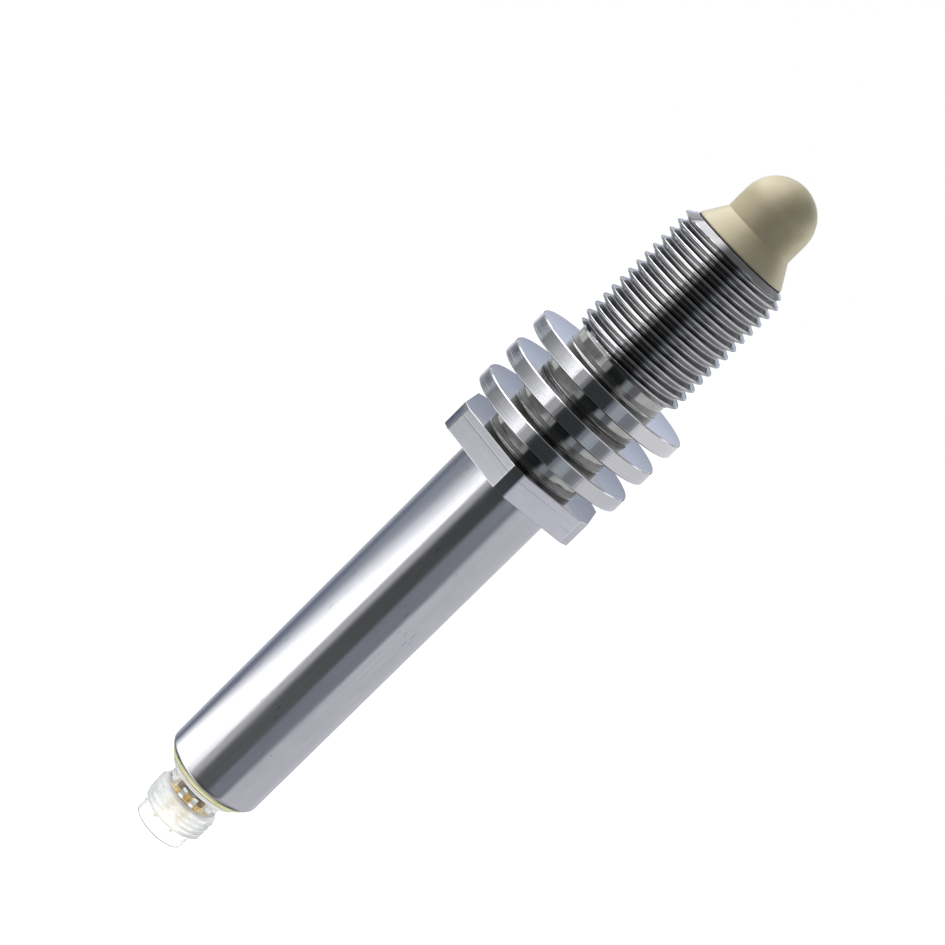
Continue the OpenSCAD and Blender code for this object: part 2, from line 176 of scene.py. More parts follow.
def round_points(radius, height, angles):
    """Points (r cos a, r sin a, z) round the axis. Radius and height may change with the angle."""
    return np.stack([radius * np.cos(angles), radius * np.sin(angles), height + 0 * angles], axis=-1)


def turned_rows(outline, angles):
    """Points of a turned surface: each outline point (radius, height) carried round the axis."""
    return round_points(outline[:, :1], outline[:, 1:], angles)


def thread_arcs(form):
    """Half flank angle in radians and root arc of a thread.

    A thread's form is its crest radius, pitch, depth, half flank angle in degrees
    and crest arc. A sharp thread is pitch / (2 tan a) high. Each arc of radius q
    takes q (1 - sin a) / sin a off that, so the root's arc follows from the depth.
    """
    _, pitch, depth, flank, crest_arc = form
    a = math.radians(flank)
    loss = pitch / (2 * math.tan(a)) - depth
    return a, loss * math.sin(a) / (1 - math.sin(a)) - crest_arc


def thread_radius(offset, form):
    """Radius of a thread at an axial offset from its nearest crest.

    Crest and root are arcs, tangent to the straight flank between them:
    crest_r - q + sqrt(q^2 - offset^2) at the crest, a line that falls by
    1 / tan(flank) along the flank, and the root's arc upside down.
    """
    crest_r, pitch, depth, _, crest_arc = form
    a, root_arc = thread_arcs(form)
    crest_edge = crest_arc * math.cos(a)
    crest = crest_r - crest_arc + np.sqrt(np.maximum(crest_arc**2 - offset**2, 0))
    tangent_r = crest_r - crest_arc * (1 - math.sin(a))
    line = tangent_r - (offset - crest_edge) / math.tan(a)
    inner = pitch / 2 - offset
    root = crest_r - depth + root_arc - np.sqrt(np.maximum(root_arc**2 - inner**2, 0))
    return np.where(offset < crest_edge, crest, np.where(inner < root_arc * math.cos(a), root, line))


def thread_phases(form):
    """Axial offsets from one crest to the next at which a thread gets its rows."""
    _, pitch, _, _, crest_arc = form
    a, root_arc = thread_arcs(form)
    top = crest_arc * math.cos(a)
    low = root_arc * math.cos(a)
    half = pitch / 2
    rise = np.array([0, 0.45 * top, 0.8 * top, top, top + 0.06 * pitch])
    fall = np.array([0.45 * low, 0.8 * low, low, low + 0.05 * pitch])
    part = np.concatenate([rise, half - fall[::-1], [half], half + fall])
    return np.concatenate([part, pitch - rise[:0:-1]])


def thread_rows(low, high, cones, crest_z, form, angles):
    """Points of a right-hand thread between two heights.

    Each row keeps to one phase of the thread, so it climbs one pitch per turn:
    z = crest_z + phase + pitch * angle / turn, held between low and high. Its
    radius is the smallest of the thread's form at its offset from the nearest
    crest and of the cones r = r0 + slope * (z - z0) that chamfer the ends.
    """
    pitch = form[1]
    first = math.floor((low - crest_z) / pitch) - 2
    last = math.ceil((high - crest_z) / pitch) + 1
    turns = np.arange(first, last + 1)[:, None] * pitch
    start = (turns + thread_phases(form)).reshape(-1, 1)
    z = np.clip(crest_z + start + pitch * angles / TURN, low, high)
    keep = (z.max(axis=1) > low) & (z.min(axis=1) < high)
    keep |= np.roll(keep, 1) | np.roll(keep, -1)
    z = z[keep]
    phase = z - crest_z - pitch * angles / TURN
    offset = np.abs((phase + pitch / 2) % pitch - pitch / 2)
    radius = thread_radius(offset, form)
    for z0, r0, slope in cones:
        radius = np.minimum(radius, r0 + slope * (z - z0))
    return round_points(radius, z, angles)


def grid_faces(count, across):
    """Corner numbers of each face of a grid with count rows of across points."""
    i, j = np.meshgrid(np.arange(count - 1), np.arange(across - 1), indexing="ij")
    a = (i * across + j).ravel()
    return np.stack([a, a + 1, a + across + 1, a + across], axis=-1).tolist()


def skin(name, rows, finishes, faces_of=None, crease=28.0):
    """Mesh from a grid of points, row by row along the outline and once round.

    The grid's first and last column lie on each other. Points that meet at the
    seam, at a pole or where rows are squeezed against an end are merged. Edges
    sharper than the crease, in degrees, stay sharp in shading.
    """
    mesh = bpy.data.meshes.new(name)
    mesh.from_pydata((rows.reshape(-1, 3) * MM).tolist(), [], grid_faces(*rows.shape[:2]))
    for finish in finishes:
        mesh.materials.append(finish)
    if faces_of is not None:
        mesh.polygons.foreach_set("material_index", faces_of.ravel().astype(np.int32))
    work = bmesh.new()
    work.from_mesh(mesh)
    bmesh.ops.remove_doubles(work, verts=work.verts, dist=SAME_POINT)
    bmesh.ops.recalc_face_normals(work, faces=work.faces)
    work.to_mesh(mesh)
    work.free()
    mesh.polygons.foreach_set("use_smooth", np.ones(len(mesh.polygons), bool))
    mesh.set_sharp_from_angle(angle=math.radians(crease))
    piece = bpy.data.objects.new(name, mesh)
    bpy.context.scene.collection.objects.link(piece)
    return piece


def fit(piece, slot, *nodes):
    """Fix a piece to the sensor's one body, in place of its plain solids."""
    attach(piece, "root")
    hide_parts(*nodes)
    return piece


def ring_angles(count):
    """Angles once round the axis, with the first repeated at the end."""
    return np.linspace(0, TURN, count + 1)


def between_heights(rows, spans, inner, outer):
    """True for each face of a grid between two radii and in one of the height spans."""
    middle = (rows[1:, 1:] + rows[:-1, 1:] + rows[1:, :-1] + rows[:-1, :-1]) / 4
    across = np.hypot(middle[..., 0], middle[..., 1])
    height = middle[..., 2]
    inside = np.zeros(height.shape, bool)
    for low, high in spans:
        inside |= (height > low) & (height < high)
    return inside & (across > inner) & (across < outer)


def fin_corners(top):
    """Corners of one fin from the neck in front of it to the neck behind it."""
    return [
        (NECK_R, top, NECK_FILLET),
        (FIN_R - FIN_EDGE, top, FIN_ROUND),
        (FIN_R, top - FIN_EDGE, FIN_ROUND),
        (FIN_R, top - FIN_T + FIN_EDGE, FIN_ROUND),
        (FIN_R - FIN_EDGE, top - FIN_T, FIN_ROUND),
        (NECK_R, top - FIN_T, FIN_ROUND),
    ]


# Finishes


def new_finish(name):
    """Empty node material with one output and one main shader."""
    finish = bpy.data.materials.new(name)
    finish.use_nodes = True
    nodes = finish.node_tree.nodes
    nodes.clear()
    out = nodes.new("ShaderNodeOutputMaterial")
    shader = nodes.new("ShaderNodeBsdfPrincipled")
    finish.node_tree.links.new(shader.outputs[0], out.inputs["Surface"])
    return finish, shader


class Bench:
    """Short calls that add and join nodes in one material."""

    def __init__(self, finish):
        self.nodes = finish.node_tree.nodes
        self.links = finish.node_tree.links
        self.place = self.nodes.new("ShaderNodeTexCoord").outputs["Object"]
        split = self.nodes.new("ShaderNodeSeparateXYZ")
        self.links.new(self.place, split.inputs[0])
        self.x, self.y, self.z = split.outputs

    def join(self, value, socket):
        """Link a socket, or set a plain value."""
        if isinstance(value, bpy.types.NodeSocket):
            self.links.new(value, socket)
        else:
            socket.default_value = value

    def math(self, operation, *values):
        """One Math node."""
        node = self.nodes.new("ShaderNodeMath")
        node.operation = operation
        for value, socket in zip(values, node.inputs):
            self.join(value, socket)
        return node.outputs[0]

    def radius(self):
        """Distance from the axis."""
        square = self.math("MULTIPLY", self.x, self.x)
        total = self.math("MULTIPLY_ADD", self.y, self.y, square)
        return self.math("SQRT", total)

    def stretched(self, round_it, along):
        """Place with its own scale round the axis and along it, without a seam."""
        x = self.math("MULTIPLY", self.x, round_it)
        y = self.math("MULTIPLY", self.y, round_it)
        return self.vector(x, y, self.math("MULTIPLY", self.z, along))

    def vector(self, x, y, z):
        """Three values as one vector."""
        node = self.nodes.new("ShaderNodeCombineXYZ")
        for value, socket in zip((x, y, z), node.inputs):
            self.join(value, socket)
        return node.outputs[0]

    def noise(self, place, scale, detail=2.0, roughness=0.5, dimensions="3D"):
        """Noise texture; place is a vector, or one value where it is 1D."""
        node = self.nodes.new("ShaderNodeTexNoise")
        node.noise_dimensions = dimensions
        self.join(place, node.inputs["W" if dimensions == "1D" else "Vector"])
        node.inputs["Scale"].default_value = scale
        node.inputs["Detail"].default_value = detail
        node.inputs["Roughness"].default_value = roughness
        return node.outputs[0]

    def cells(self, place, scale):
        """Distance to the nearest point of a scattered set."""
        node = self.nodes.new("ShaderNodeTexVoronoi")
        self.join(place, node.inputs["Vector"])
        node.inputs["Scale"].default_value = scale
        return node.outputs["Distance"]

    def between(self, value, low, high, to_low=0.0, to_high=1.0):
        """Value carried from one range to another, smoothly and held at the ends."""
        node = self.nodes.new("ShaderNodeMapRange")
        node.interpolation_type = "SMOOTHSTEP"
        for part, socket in zip((value, low, high, to_low, to_high), node.inputs):
            self.join(part, socket)
        return node.outputs[0]

    def blend(self, share, first, second):
        """Two colours mixed by a share."""
        node = self.nodes.new("ShaderNodeMix")
        node.data_type = "RGBA"
        colours = [s for s in node.inputs if s.type == "RGBA"]
        self.join(share, node.inputs[0])
        self.join(first, colours[0])
        self.join(second, colours[1])
        return [s for s in node.outputs if s.type == "RGBA"][0]

    def bump(self, height, distance, normal=None):
        """Relief of a given depth in millimetres."""
        node = self.nodes.new("ShaderNodeBump")
        node.inputs["Distance"].default_value = distance * MM
        self.join(height, node.inputs["Height"])
        if normal is not None:
            self.join(normal, node.inputs["Normal"])
        return node.outputs[0]


def shade(red, green, blue):
    """Colour with full cover."""
    return (red, green, blue, 1.0)


def specks(bench, cell, size, share):
    """Share of small scattered dots: near a cell's point, and only in some cells."""
    dots = bench.between(bench.cells(bench.place, 1000 / cell), size, 0.6 * size)
    gate = bench.noise(bench.place, 1000 / cell * 0.83, 0.0)
    return bench.math("MULTIPLY", dots, bench.between(gate, share, share + 0.03))


def turned_steel():
    """Bright turned stainless steel: fine rings, rims with faint chatter, a few pits."""
    finish, shader = new_finish("turned_steel")
    b = Bench(finish)
    radius = b.radius()
    rim = b.between(radius, (FIN_R - 0.2) * MM, (FIN_R - 0.1) * MM)
    path = b.math("MULTIPLY_ADD", radius, 1.37, b.z)
    fine = b.noise(path, 7000, 2.0, 0.6, "1D")
    broad = b.noise(path, 1500, 1.0, 0.5, "1D")
    clouds = b.noise(b.place, 240, 2.0)
    chatter = b.noise(b.stretched(3000.0, 40.0), 1.0, 1.0)
    pits = specks(b, 2.3, 0.055, 0.56)
    steel = b.blend(b.between(fine, 0.3, 0.7), shade(0.60, 0.60, 0.61), shade(0.71, 0.71, 0.72))
    steel = b.blend(b.between(clouds, 0.35, 0.65, 0.0, 0.3), steel, shade(0.60, 0.595, 0.60))
    steel = b.blend(pits, steel, shade(0.07, 0.07, 0.08))
    b.join(steel, shader.inputs["Base Color"])
    shader.inputs["Metallic"].default_value = 1.0
    rough = b.between(clouds, 0.3, 0.7, 0.06, 0.09)
    b.join(b.math("MULTIPLY_ADD", rim, 0.02, rough), shader.inputs["Roughness"])
    relief = b.bump(fine, 0.0010)
    relief = b.bump(broad, 0.003, relief)
    relief = b.bump(b.math("MULTIPLY", chatter, rim), 0.012, relief)
    b.join(relief, shader.inputs["Normal"])
    return finish


def thread_steel_painted_light():
    """Cut thread: crest and root painted lighter as painted highlights, flanks painted darker as painted
    shade, a plain lead-in cone.
    """
    finish, shader = new_finish("thread_steel_painted_light")
    b = Bench(finish)
    radius = b.radius()
    smears = b.noise(b.stretched(260.0, 420.0), 1.0, 2.0)
    # flanks darker, crest and root lighter: painted shade on the flanks, painted highlights on crest and
    # root
    flank = b.between(radius, (THREAD_R - 1.10) * MM, (THREAD_R - 1.02) * MM)
    crest = b.between(radius, (THREAD_R - 0.26) * MM, (THREAD_R - 0.14) * MM)
    steel = b.blend(flank, shade(0.52, 0.52, 0.52), shade(0.27, 0.27, 0.27))
    steel = b.blend(crest, steel, shade(0.56, 0.56, 0.56))
    cone = b.between(b.z, (THREAD_FRONT - LEAD_IN - 0.1) * MM, (THREAD_FRONT - LEAD_IN + 0.05) * MM)
    steel = b.blend(cone, steel, shade(0.42, 0.42, 0.42))
    steel = b.blend(b.between(smears, 0.45, 0.7, 0.0, 0.35), steel, shade(0.34, 0.34, 0.335))
    b.join(steel, shader.inputs["Base Color"])
    shader.inputs["Metallic"].default_value = 1.0
    b.join(b.between(smears, 0.3, 0.7, 0.04, 0.08), shader.inputs["Roughness"])
    return finish


def neck_steel_painted_shade():
    """Steel of the necks, darker than the rims as painted shade between the fins: faintly olive in patches,
    lighter and satin in the corner at the foot, the lighter colour a painted highlight.

    The lowest part mirrors the fin below it. There the relief climbs by 0.02 mm a
    millimetre, up to 0.9 mm above the fin in front and higher towards the back.
    """
    finish, shader = new_finish("neck_steel_painted_shade")
    b = Bench(finish)
    rings = b.noise(b.z, 5200, 2.0, 0.6, "1D")
    patches = b.noise(b.stretched(420.0, 260.0), 1.0, 2.0)
    above = b.math("FLOORED_MODULO", b.math("SUBTRACT", b.z, (HEX_TOP - 0.1) * MM), FIN_STEP * MM)
    foot = b.between(above, 0.36 * MM, 0.26 * MM)
    # the neck's base is darker than the rims: painted shade between the fins
    steel = b.blend(b.between(patches, 0.35, 0.65), shade(0.35, 0.345, 0.32), shade(0.41, 0.41, 0.405))
    steel = b.blend(b.between(rings, 0.3, 0.7, 0.0, 0.3), steel, shade(0.46, 0.46, 0.46))
    # the foot is lighter: a painted highlight in its corner
    steel = b.blend(foot, steel, shade(0.46, 0.46, 0.455))
    b.join(steel, shader.inputs["Base Color"])
    shader.inputs["Metallic"].default_value = 1.0
    smooth = b.between(patches, 0.3, 0.7, 0.03, 0.06)
    b.join(b.math("MULTIPLY_ADD", foot, 0.12, smooth), shader.inputs["Roughness"])
    relief = b.bump(rings, 0.0004)
    relief = b.bump(patches, 0.0012, relief)
    reach = b.math("MULTIPLY_ADD", b.y, 0.7 / NECK_R, 1.7 * MM)
    lean = b.math("MULTIPLY", b.math("MINIMUM", above, reach), 1 / MM)
    b.join(b.bump(lean, 0.02, relief), shader.inputs["Normal"])
    return finish


def milled_steel():
    """Milled spanner flats: straight cutter marks across the axis, deeper on one side. The flats on the left
    are painted darker and those on the right lighter: painted shade and painted light.
    """
    finish, shader = new_finish("milled_steel")
    b = Bench(finish)
    across = b.stretched(60.0, 3000.0)
    marks = b.noise(across, 1.0, 3.0, 0.6)
    deep = b.between(b.noise(across, 0.42, 1.0), 0.36, 0.30)
    mottle = b.noise(b.place, 300, 3.0)
    side = b.between(b.x, -0.5 * MM, 0.5 * MM, 1.0, 0.25)
    marks = b.math("MULTIPLY", marks, side)
    deep = b.math("MULTIPLY", deep, side)
    steel = b.blend(b.between(marks, 0.2, 0.7), shade(0.60, 0.61, 0.63), shade(0.74, 0.745, 0.75))
    steel = b.blend(b.between(mottle, 0.35, 0.65, 0.0, 0.4), steel, shade(0.66, 0.66, 0.68))
    # painted shade on the left flats and painted light on the right ones
    painted_side_light = b.blend(b.between(b.x, -0.5 * MM, 0.5 * MM), shade(0.39, 0.395, 0.41), shade(0.81, 0.81, 0.83))
    steel = b.blend(0.75, steel, painted_side_light)
    steel = b.blend(b.math("MULTIPLY", deep, 0.5), steel, shade(0.28, 0.29, 0.31))
    b.join(steel, shader.inputs["Base Color"])
    shader.inputs["Metallic"].default_value = 1.0
    rough = b.between(b.x, -0.5 * MM, 0.5 * MM, 0.21, 0.13)
    b.join(b.math("ADD", rough, b.between(mottle, 0.3, 0.7, 0.0, 0.05)), shader.inputs["Roughness"])
    relief = b.bump(marks, 0.004)
    relief = b.bump(deep, -0.01, relief)
    b.join(relief, shader.inputs["Normal"])
    return finish


def tube_steel():
    """Drawn and polished tube: soft clouding, the faintest streaks, small dark dashes."""
    finish, shader = new_finish("tube_steel")
    b = Bench(finish)
    streaks = b.noise(b.stretched(1400.0, 60.0), 1.0, 2.0, 0.6)
    clouds = b.noise(b.stretched(170.0, 110.0), 1.0, 4.0, 0.6)
    dashes = b.between(b.cells(b.stretched(1500.0, 190.0), 1.0), 0.16, 0.09)
    dashes = b.math("MULTIPLY", dashes, b.between(b.noise(b.place, 110, 0.0), 0.60, 0.62))
    pits = specks(b, 3.2, 0.055, 0.58)
    steel = b.blend(b.between(streaks, 0.3, 0.7), shade(0.615, 0.615, 0.625), shade(0.65, 0.65, 0.66))
    steel = b.blend(b.between(clouds, 0.35, 0.7, 0.0, 0.5), steel, shade(0.57, 0.57, 0.58))
    steel = b.blend(b.math("MULTIPLY", dashes, 0.6), steel, shade(0.22, 0.22, 0.24))
    steel = b.blend(pits, steel, shade(0.08, 0.08, 0.09))
    b.join(steel, shader.inputs["Base Color"])
    shader.inputs["Metallic"].default_value = 1.0
    b.join(b.between(clouds, 0.3, 0.7, 0.12, 0.20), shader.inputs["Roughness"])
    relief = b.bump(streaks, 0.0006)
    relief = b.bump(clouds, 0.010, relief)
    b.join(relief, shader.inputs["Normal"])
    return finish


def weld_steel():
    """Weld bead, smoothed after welding: darker steel with a faint straw tint."""
    finish, shader = new_finish("weld_steel")
    b = Bench(finish)
    grain = b.noise(b.place, 2600, 3.0, 0.6)
    tint = b.noise(b.place, 420, 1.0)
    steel = b.blend(b.between(tint, 0.35, 0.65), shade(0.31, 0.31, 0.305), shade(0.29, 0.28, 0.26))
    steel = b.blend(b.between(grain, 0.3, 0.7, 0.0, 0.15), steel, shade(0.23, 0.23, 0.23))
    b.join(steel, shader.inputs["Base Color"])
    shader.inputs["Metallic"].default_value = 1.0
    b.join(b.between(grain, 0.3, 0.7, 0.05, 0.09), shader.inputs["Roughness"])
    return finish


def tip_plastic():
    """Satin beige high-temperature plastic: faint mottle, fine grain and faint rings."""
    finish, shader = new_finish("tip_plastic")
    b = Bench(finish)
    mottle = b.noise(b.place, 330, 3.0, 0.6)
    grain = b.noise(b.place, 5200, 2.0, 0.6)
    rings = b.noise(b.math("MULTIPLY_ADD", b.radius(), 1.2, b.z), 4200, 1.0, 0.5, "1D")
    beige = b.blend(b.between(mottle, 0.3, 0.7), shade(0.59, 0.52, 0.335), shade(0.645, 0.575, 0.385))
    beige = b.blend(b.between(grain, 0.3, 0.75, 0.0, 0.25), beige, shade(0.53, 0.465, 0.295))
    b.join(beige, shader.inputs["Base Color"])
    shader.inputs["Specular IOR Level"].default_value = 0.55
    shader.inputs["Coat Weight"].default_value = 0.2
    shader.inputs["Coat Roughness"].default_value = 0.3
    shader.inputs["Sheen Weight"].default_value = 0.3
    shader.inputs["Sheen Roughness"].default_value = 0.35
    shader.inputs["Sheen Tint"].default_value = shade(0.85, 0.92, 1.0)
    b.join(b.between(mottle, 0.3, 0.7, 0.36, 0.46), shader.inputs["Roughness"])
    relief = b.bump(grain, 0.0022)
    relief = b.bump(rings, 0.0016, relief)
    b.join(relief, shader.inputs["Normal"])
    return finish


def clear_plastic():
    """Clear moulding with a faint green cast: glassy neck, satin nose, and a dark reflection painted on the
    nose's rim.
    """
    finish, shader = new_finish("clear_plastic")
    b = Bench(finish)
    flow = b.noise(b.place, 420, 2.0, 0.5)
    tint = b.blend(b.between(flow, 0.3, 0.7), shade(0.975, 0.99, 0.975), shade(0.99, 0.995, 0.99))
    # painted dark reflection along the nose's rim
    rim = b.between(b.z, (NOSE_END + 0.32) * MM, (NOSE_END + 0.22) * MM)
    tint = b.blend(rim, tint, shade(0.30, 0.33, 0.38))
    b.join(tint, shader.inputs["Base Color"])
    satin = b.between(b.z, (PLUG_REAR + 0.1) * MM, (PLUG_REAR - 0.1) * MM, 0.03, 0.24)
    b.join(b.math("MULTIPLY_ADD", flow, 0.04, satin), shader.inputs["Roughness"])
    shader.inputs["IOR"].default_value = 1.46
    shader.inputs["Transmission Weight"].default_value = 0.96
    b.join(b.bump(flow, 0.006), shader.inputs["Normal"])
    return finish


def matt_plastic():
    """The same moulding on the thread: matt, so that the pins behind it only glimmer."""
    finish, shader = new_finish("matt_plastic")
    b = Bench(finish)
    flow = b.noise(b.place, 700, 2.0, 0.5)
    tint = b.blend(b.between(flow, 0.3, 0.7), shade(0.95, 0.975, 0.96), shade(0.98, 0.995, 0.99))
    b.join(tint, shader.inputs["Base Color"])
    b.join(b.between(flow, 0.3, 0.7, 0.52, 0.62), shader.inputs["Roughness"])
    shader.inputs["IOR"].default_value = 1.36
    shader.inputs["Transmission Weight"].default_value = 0.62
    b.join(b.bump(flow, 0.004), shader.inputs["Normal"])
    return finish


def frosted_plastic():
    """The same moulding where its surface is left matt, so that it looks milky white."""
    finish, shader = new_finish("frosted_plastic")
    b = Bench(finish)
    flow = b.noise(b.place, 900, 3.0, 0.5)
    tint = b.blend(b.between(flow, 0.3, 0.7), shade(0.70, 0.69, 0.69), shade(0.74, 0.73, 0.73))
    b.join(tint, shader.inputs["Base Color"])
    b.join(b.between(flow, 0.3, 0.7, 0.40, 0.50), shader.inputs["Roughness"])
    shader.inputs["IOR"].default_value = 1.46
    shader.inputs["Transmission Weight"].default_value = 0.25
    b.join(b.bump(flow, 0.006), shader.inputs["Normal"])
    return finish


def cap_cream():
    """Cream moulded cap, with painted shadow: a thin olive line in the gap at the tube and a brown line on
    the shaded rear edge.
    """
    finish, shader = new_finish("cap_cream")
    b = Bench(finish)
    grain = b.noise(b.place, 2000, 3.0, 0.6)
    mottle = b.noise(b.place, 400, 2.0)
    cream = b.blend(b.between(mottle, 0.35, 0.65), shade(0.45, 0.455, 0.24), shade(0.53, 0.535, 0.31))
    # painted shadow in the gap at the tube's end
    front = b.between(b.z, (TUBE_END - 0.14) * MM, (TUBE_END - 0.05) * MM)
    cream = b.blend(b.math("MULTIPLY", front, 0.7), cream, shade(0.20, 0.18, 0.07))
    # painted shade on the rear edge's chamfer, which faces down
    rear = b.between(b.z, (CAP_END + 0.30) * MM, (CAP_END + 0.20) * MM)
    cream = b.blend(b.math("MULTIPLY", rear, 0.9), cream, shade(0.09, 0.075, 0.05))
    b.join(cream, shader.inputs["Base Color"])
    b.join(b.between(grain, 0.3, 0.7, 0.30, 0.42), shader.inputs["Roughness"])
    b.join(b.bump(grain, 0.002), shader.inputs["Normal"])
    return finish


def plastic(name, dark, light, rough, grain_size, depth):
    """Moulded plastic or rubber: two near tones, even grain and a soft gloss."""
    finish, shader = new_finish(name)
    b = Bench(finish)
    grain = b.noise(b.place, 1000 / grain_size, 3.0, 0.6)
    mottle = b.noise(b.place, 260, 2.0)
    share = b.math("MULTIPLY_ADD", grain, 0.4, b.math("MULTIPLY", mottle, 0.6))
    b.join(b.blend(b.between(share, 0.35, 0.65), shade(*dark), shade(*light)), shader.inputs["Base Color"])
    b.join(b.between(share, 0.35, 0.65, rough, rough + 0.12), shader.inputs["Roughness"])
    b.join(b.bump(grain, depth), shader.inputs["Normal"])
    return finish


def electrode_brass():
    """Drawn brass of the electrodes, the rod and the lead: fine rings and light wear."""
    finish, shader = new_finish("electrode_brass")
    b = Bench(finish)
    rings = b.noise(b.z, 5200, 2.0, 0.6, "1D")
    wear = b.noise(b.place, 700, 3.0, 0.6)
    share = b.math("MULTIPLY_ADD", rings, 0.5, b.math("MULTIPLY", wear, 0.5))
    brass = b.blend(b.between(share, 0.35, 0.65), shade(0.66, 0.48, 0.20), shade(0.80, 0.62, 0.30))
    b.join(brass, shader.inputs["Base Color"])
    shader.inputs["Metallic"].default_value = 1.0
    b.join(b.between(wear, 0.3, 0.7, 0.24, 0.34), shader.inputs["Roughness"])
    b.join(b.bump(rings, 0.002), shader.inputs["Normal"])
    return finish


def carrier_grey():
    """Pin carrier: grey boss behind the clear neck, pale disc under the flange."""
    finish, shader = new_finish("carrier_grey")
    b = Bench(finish)
    grain = b.noise(b.place, 3300, 3.0, 0.6)
    boss = b.between(b.z, (DISC_BASE - 0.02) * MM, (DISC_BASE - 0.12) * MM)
    grey = b.blend(b.between(grain, 0.3, 0.7), shade(0.62, 0.62, 0.60), shade(0.70, 0.70, 0.68))
    grey = b.blend(boss, grey, b.blend(grain, shade(0.10, 0.105, 0.10), shade(0.17, 0.175, 0.17)))
    b.join(grey, shader.inputs["Base Color"])
    b.join(b.between(grain, 0.3, 0.7, 0.40, 0.52), shader.inputs["Roughness"])
    b.join(b.bump(grain, 0.003), shader.inputs["Normal"])
    return finish


def gold_pin(name, colour_above, low):
    """Contact pin: drawn gold, and another colour above a given height; on the gold pins that colour is a
    painted shadow.
    """
    finish, shader = new_finish(name)
    b = Bench(finish)
    rings = b.noise(b.z, 5200, 2.0, 0.6, "1D")
    # above low the pin takes the other colour: on the gold pins a painted shadow
    inside = b.between(b.z, low * MM, (low + 0.4) * MM)
    gold = b.blend(b.between(rings, 0.3, 0.7), shade(0.76, 0.50, 0.13), shade(0.90, 0.66, 0.24))
    b.join(b.blend(inside, gold, shade(*colour_above)), shader.inputs["Base Color"])
    shader.inputs["Metallic"].default_value = 1.0
    b.join(b.between(rings, 0.3, 0.7, 0.14, 0.20), shader.inputs["Roughness"])
    return finish


def board_green():
    """Circuit board: green mask over straight copper tracks, with small vias."""
    finish, shader = new_finish("board_green")
    b = Bench(finish)
    track = b.math("PINGPONG", b.x, 0.45 * MM)
    track = b.between(track, 0.16 * MM, 0.13 * MM)
    bands = b.between(b.noise(b.vector(b.x, 0.0, b.z), 160, 0.0), 0.48, 0.50)
    track = b.math("MULTIPLY", track, bands)
    vias = specks(b, 2.2, 0.16, 0.52)
    weave = b.noise(b.place, 2400, 2.0)
    mask = b.blend(b.between(weave, 0.3, 0.7), shade(0.010, 0.10, 0.045), shade(0.018, 0.14, 0.065))
    mask = b.blend(b.math("MULTIPLY", track, 0.8), mask, shade(0.05, 0.26, 0.11))
    mask = b.blend(vias, mask, shade(0.62, 0.58, 0.46))
    b.join(mask, shader.inputs["Base Color"])
    shader.inputs["Roughness"].default_value = 0.34
    b.join(b.bump(track, 0.02), shader.inputs["Normal"])
    return finish


def lens_plastic(name, dark, light):
    """Tinted translucent lens of a light source."""
    finish, shader = new_finish(name)
    b = Bench(finish)
    flow = b.noise(b.place, 900, 2.0)
    b.join(b.blend(b.between(flow, 0.3, 0.7), shade(*dark), shade(*light)), shader.inputs["Base Color"])
    b.join(b.between(flow, 0.3, 0.7, 0.12, 0.22), shader.inputs["Roughness"])
    shader.inputs["Transmission Weight"].default_value = 0.35
    b.join(b.bump(flow, 0.01), shader.inputs["Normal"])
    return finish


# Visible pieces

STEEL = turned_steel()
THREAD_STEEL_PAINTED_LIGHT = thread_steel_painted_light()
NECK_STEEL_PAINTED_SHADE = neck_steel_painted_shade()
MILLED = milled_steel()
TUBE = tube_steel()
WELD = weld_steel()
TIP = tip_plastic()
CLEAR = clear_plastic()
MATT = matt_plastic()
FROSTED = frosted_plastic()


def moulded_tip():
    """Sensing tip, turned about the axis from the dome's pole outside to its pole inside.

    The dome is a quarter circle, then come a straight wall, the flared cone, the
    foot, the spigot in the steel, and the chamber with a dome of its own.
    """
    quarter = np.linspace(0, math.pi / 2, 28)[:, None]
    dome = np.hstack([TIP_R * np.sin(quarter), DOME_Z + TIP_R * np.cos(quarter)])
    hollow = np.hstack([CHAMBER_R * np.cos(quarter), DOME_Z + CHAMBER_R * np.sin(quarter)])
    wall = rounded([
        (TIP_R, DOME_Z - 0.2),
        (TIP_R, FLARE_TOP, 0.25),
        (FOOT_R, FOOT_Z + FOOT_EDGE, 0.08),
        (FOOT_R, FOOT_Z, 0.05),
        (TIP_SPIGOT_R, FOOT_Z, 0.1),
        (TIP_SPIGOT_R, TIP_SPIGOT_END, 0.3),
        (CHAMBER_R, TIP_SPIGOT_END, 0.2),
        (CHAMBER_R, DOME_Z - 0.2),
    ])
    rows = turned_rows(np.vstack([dome, wall, hollow]), ring_angles(144))
    return fit(skin("moulded_tip", rows, [TIP]), "tip_plastic", "sensor_tip")


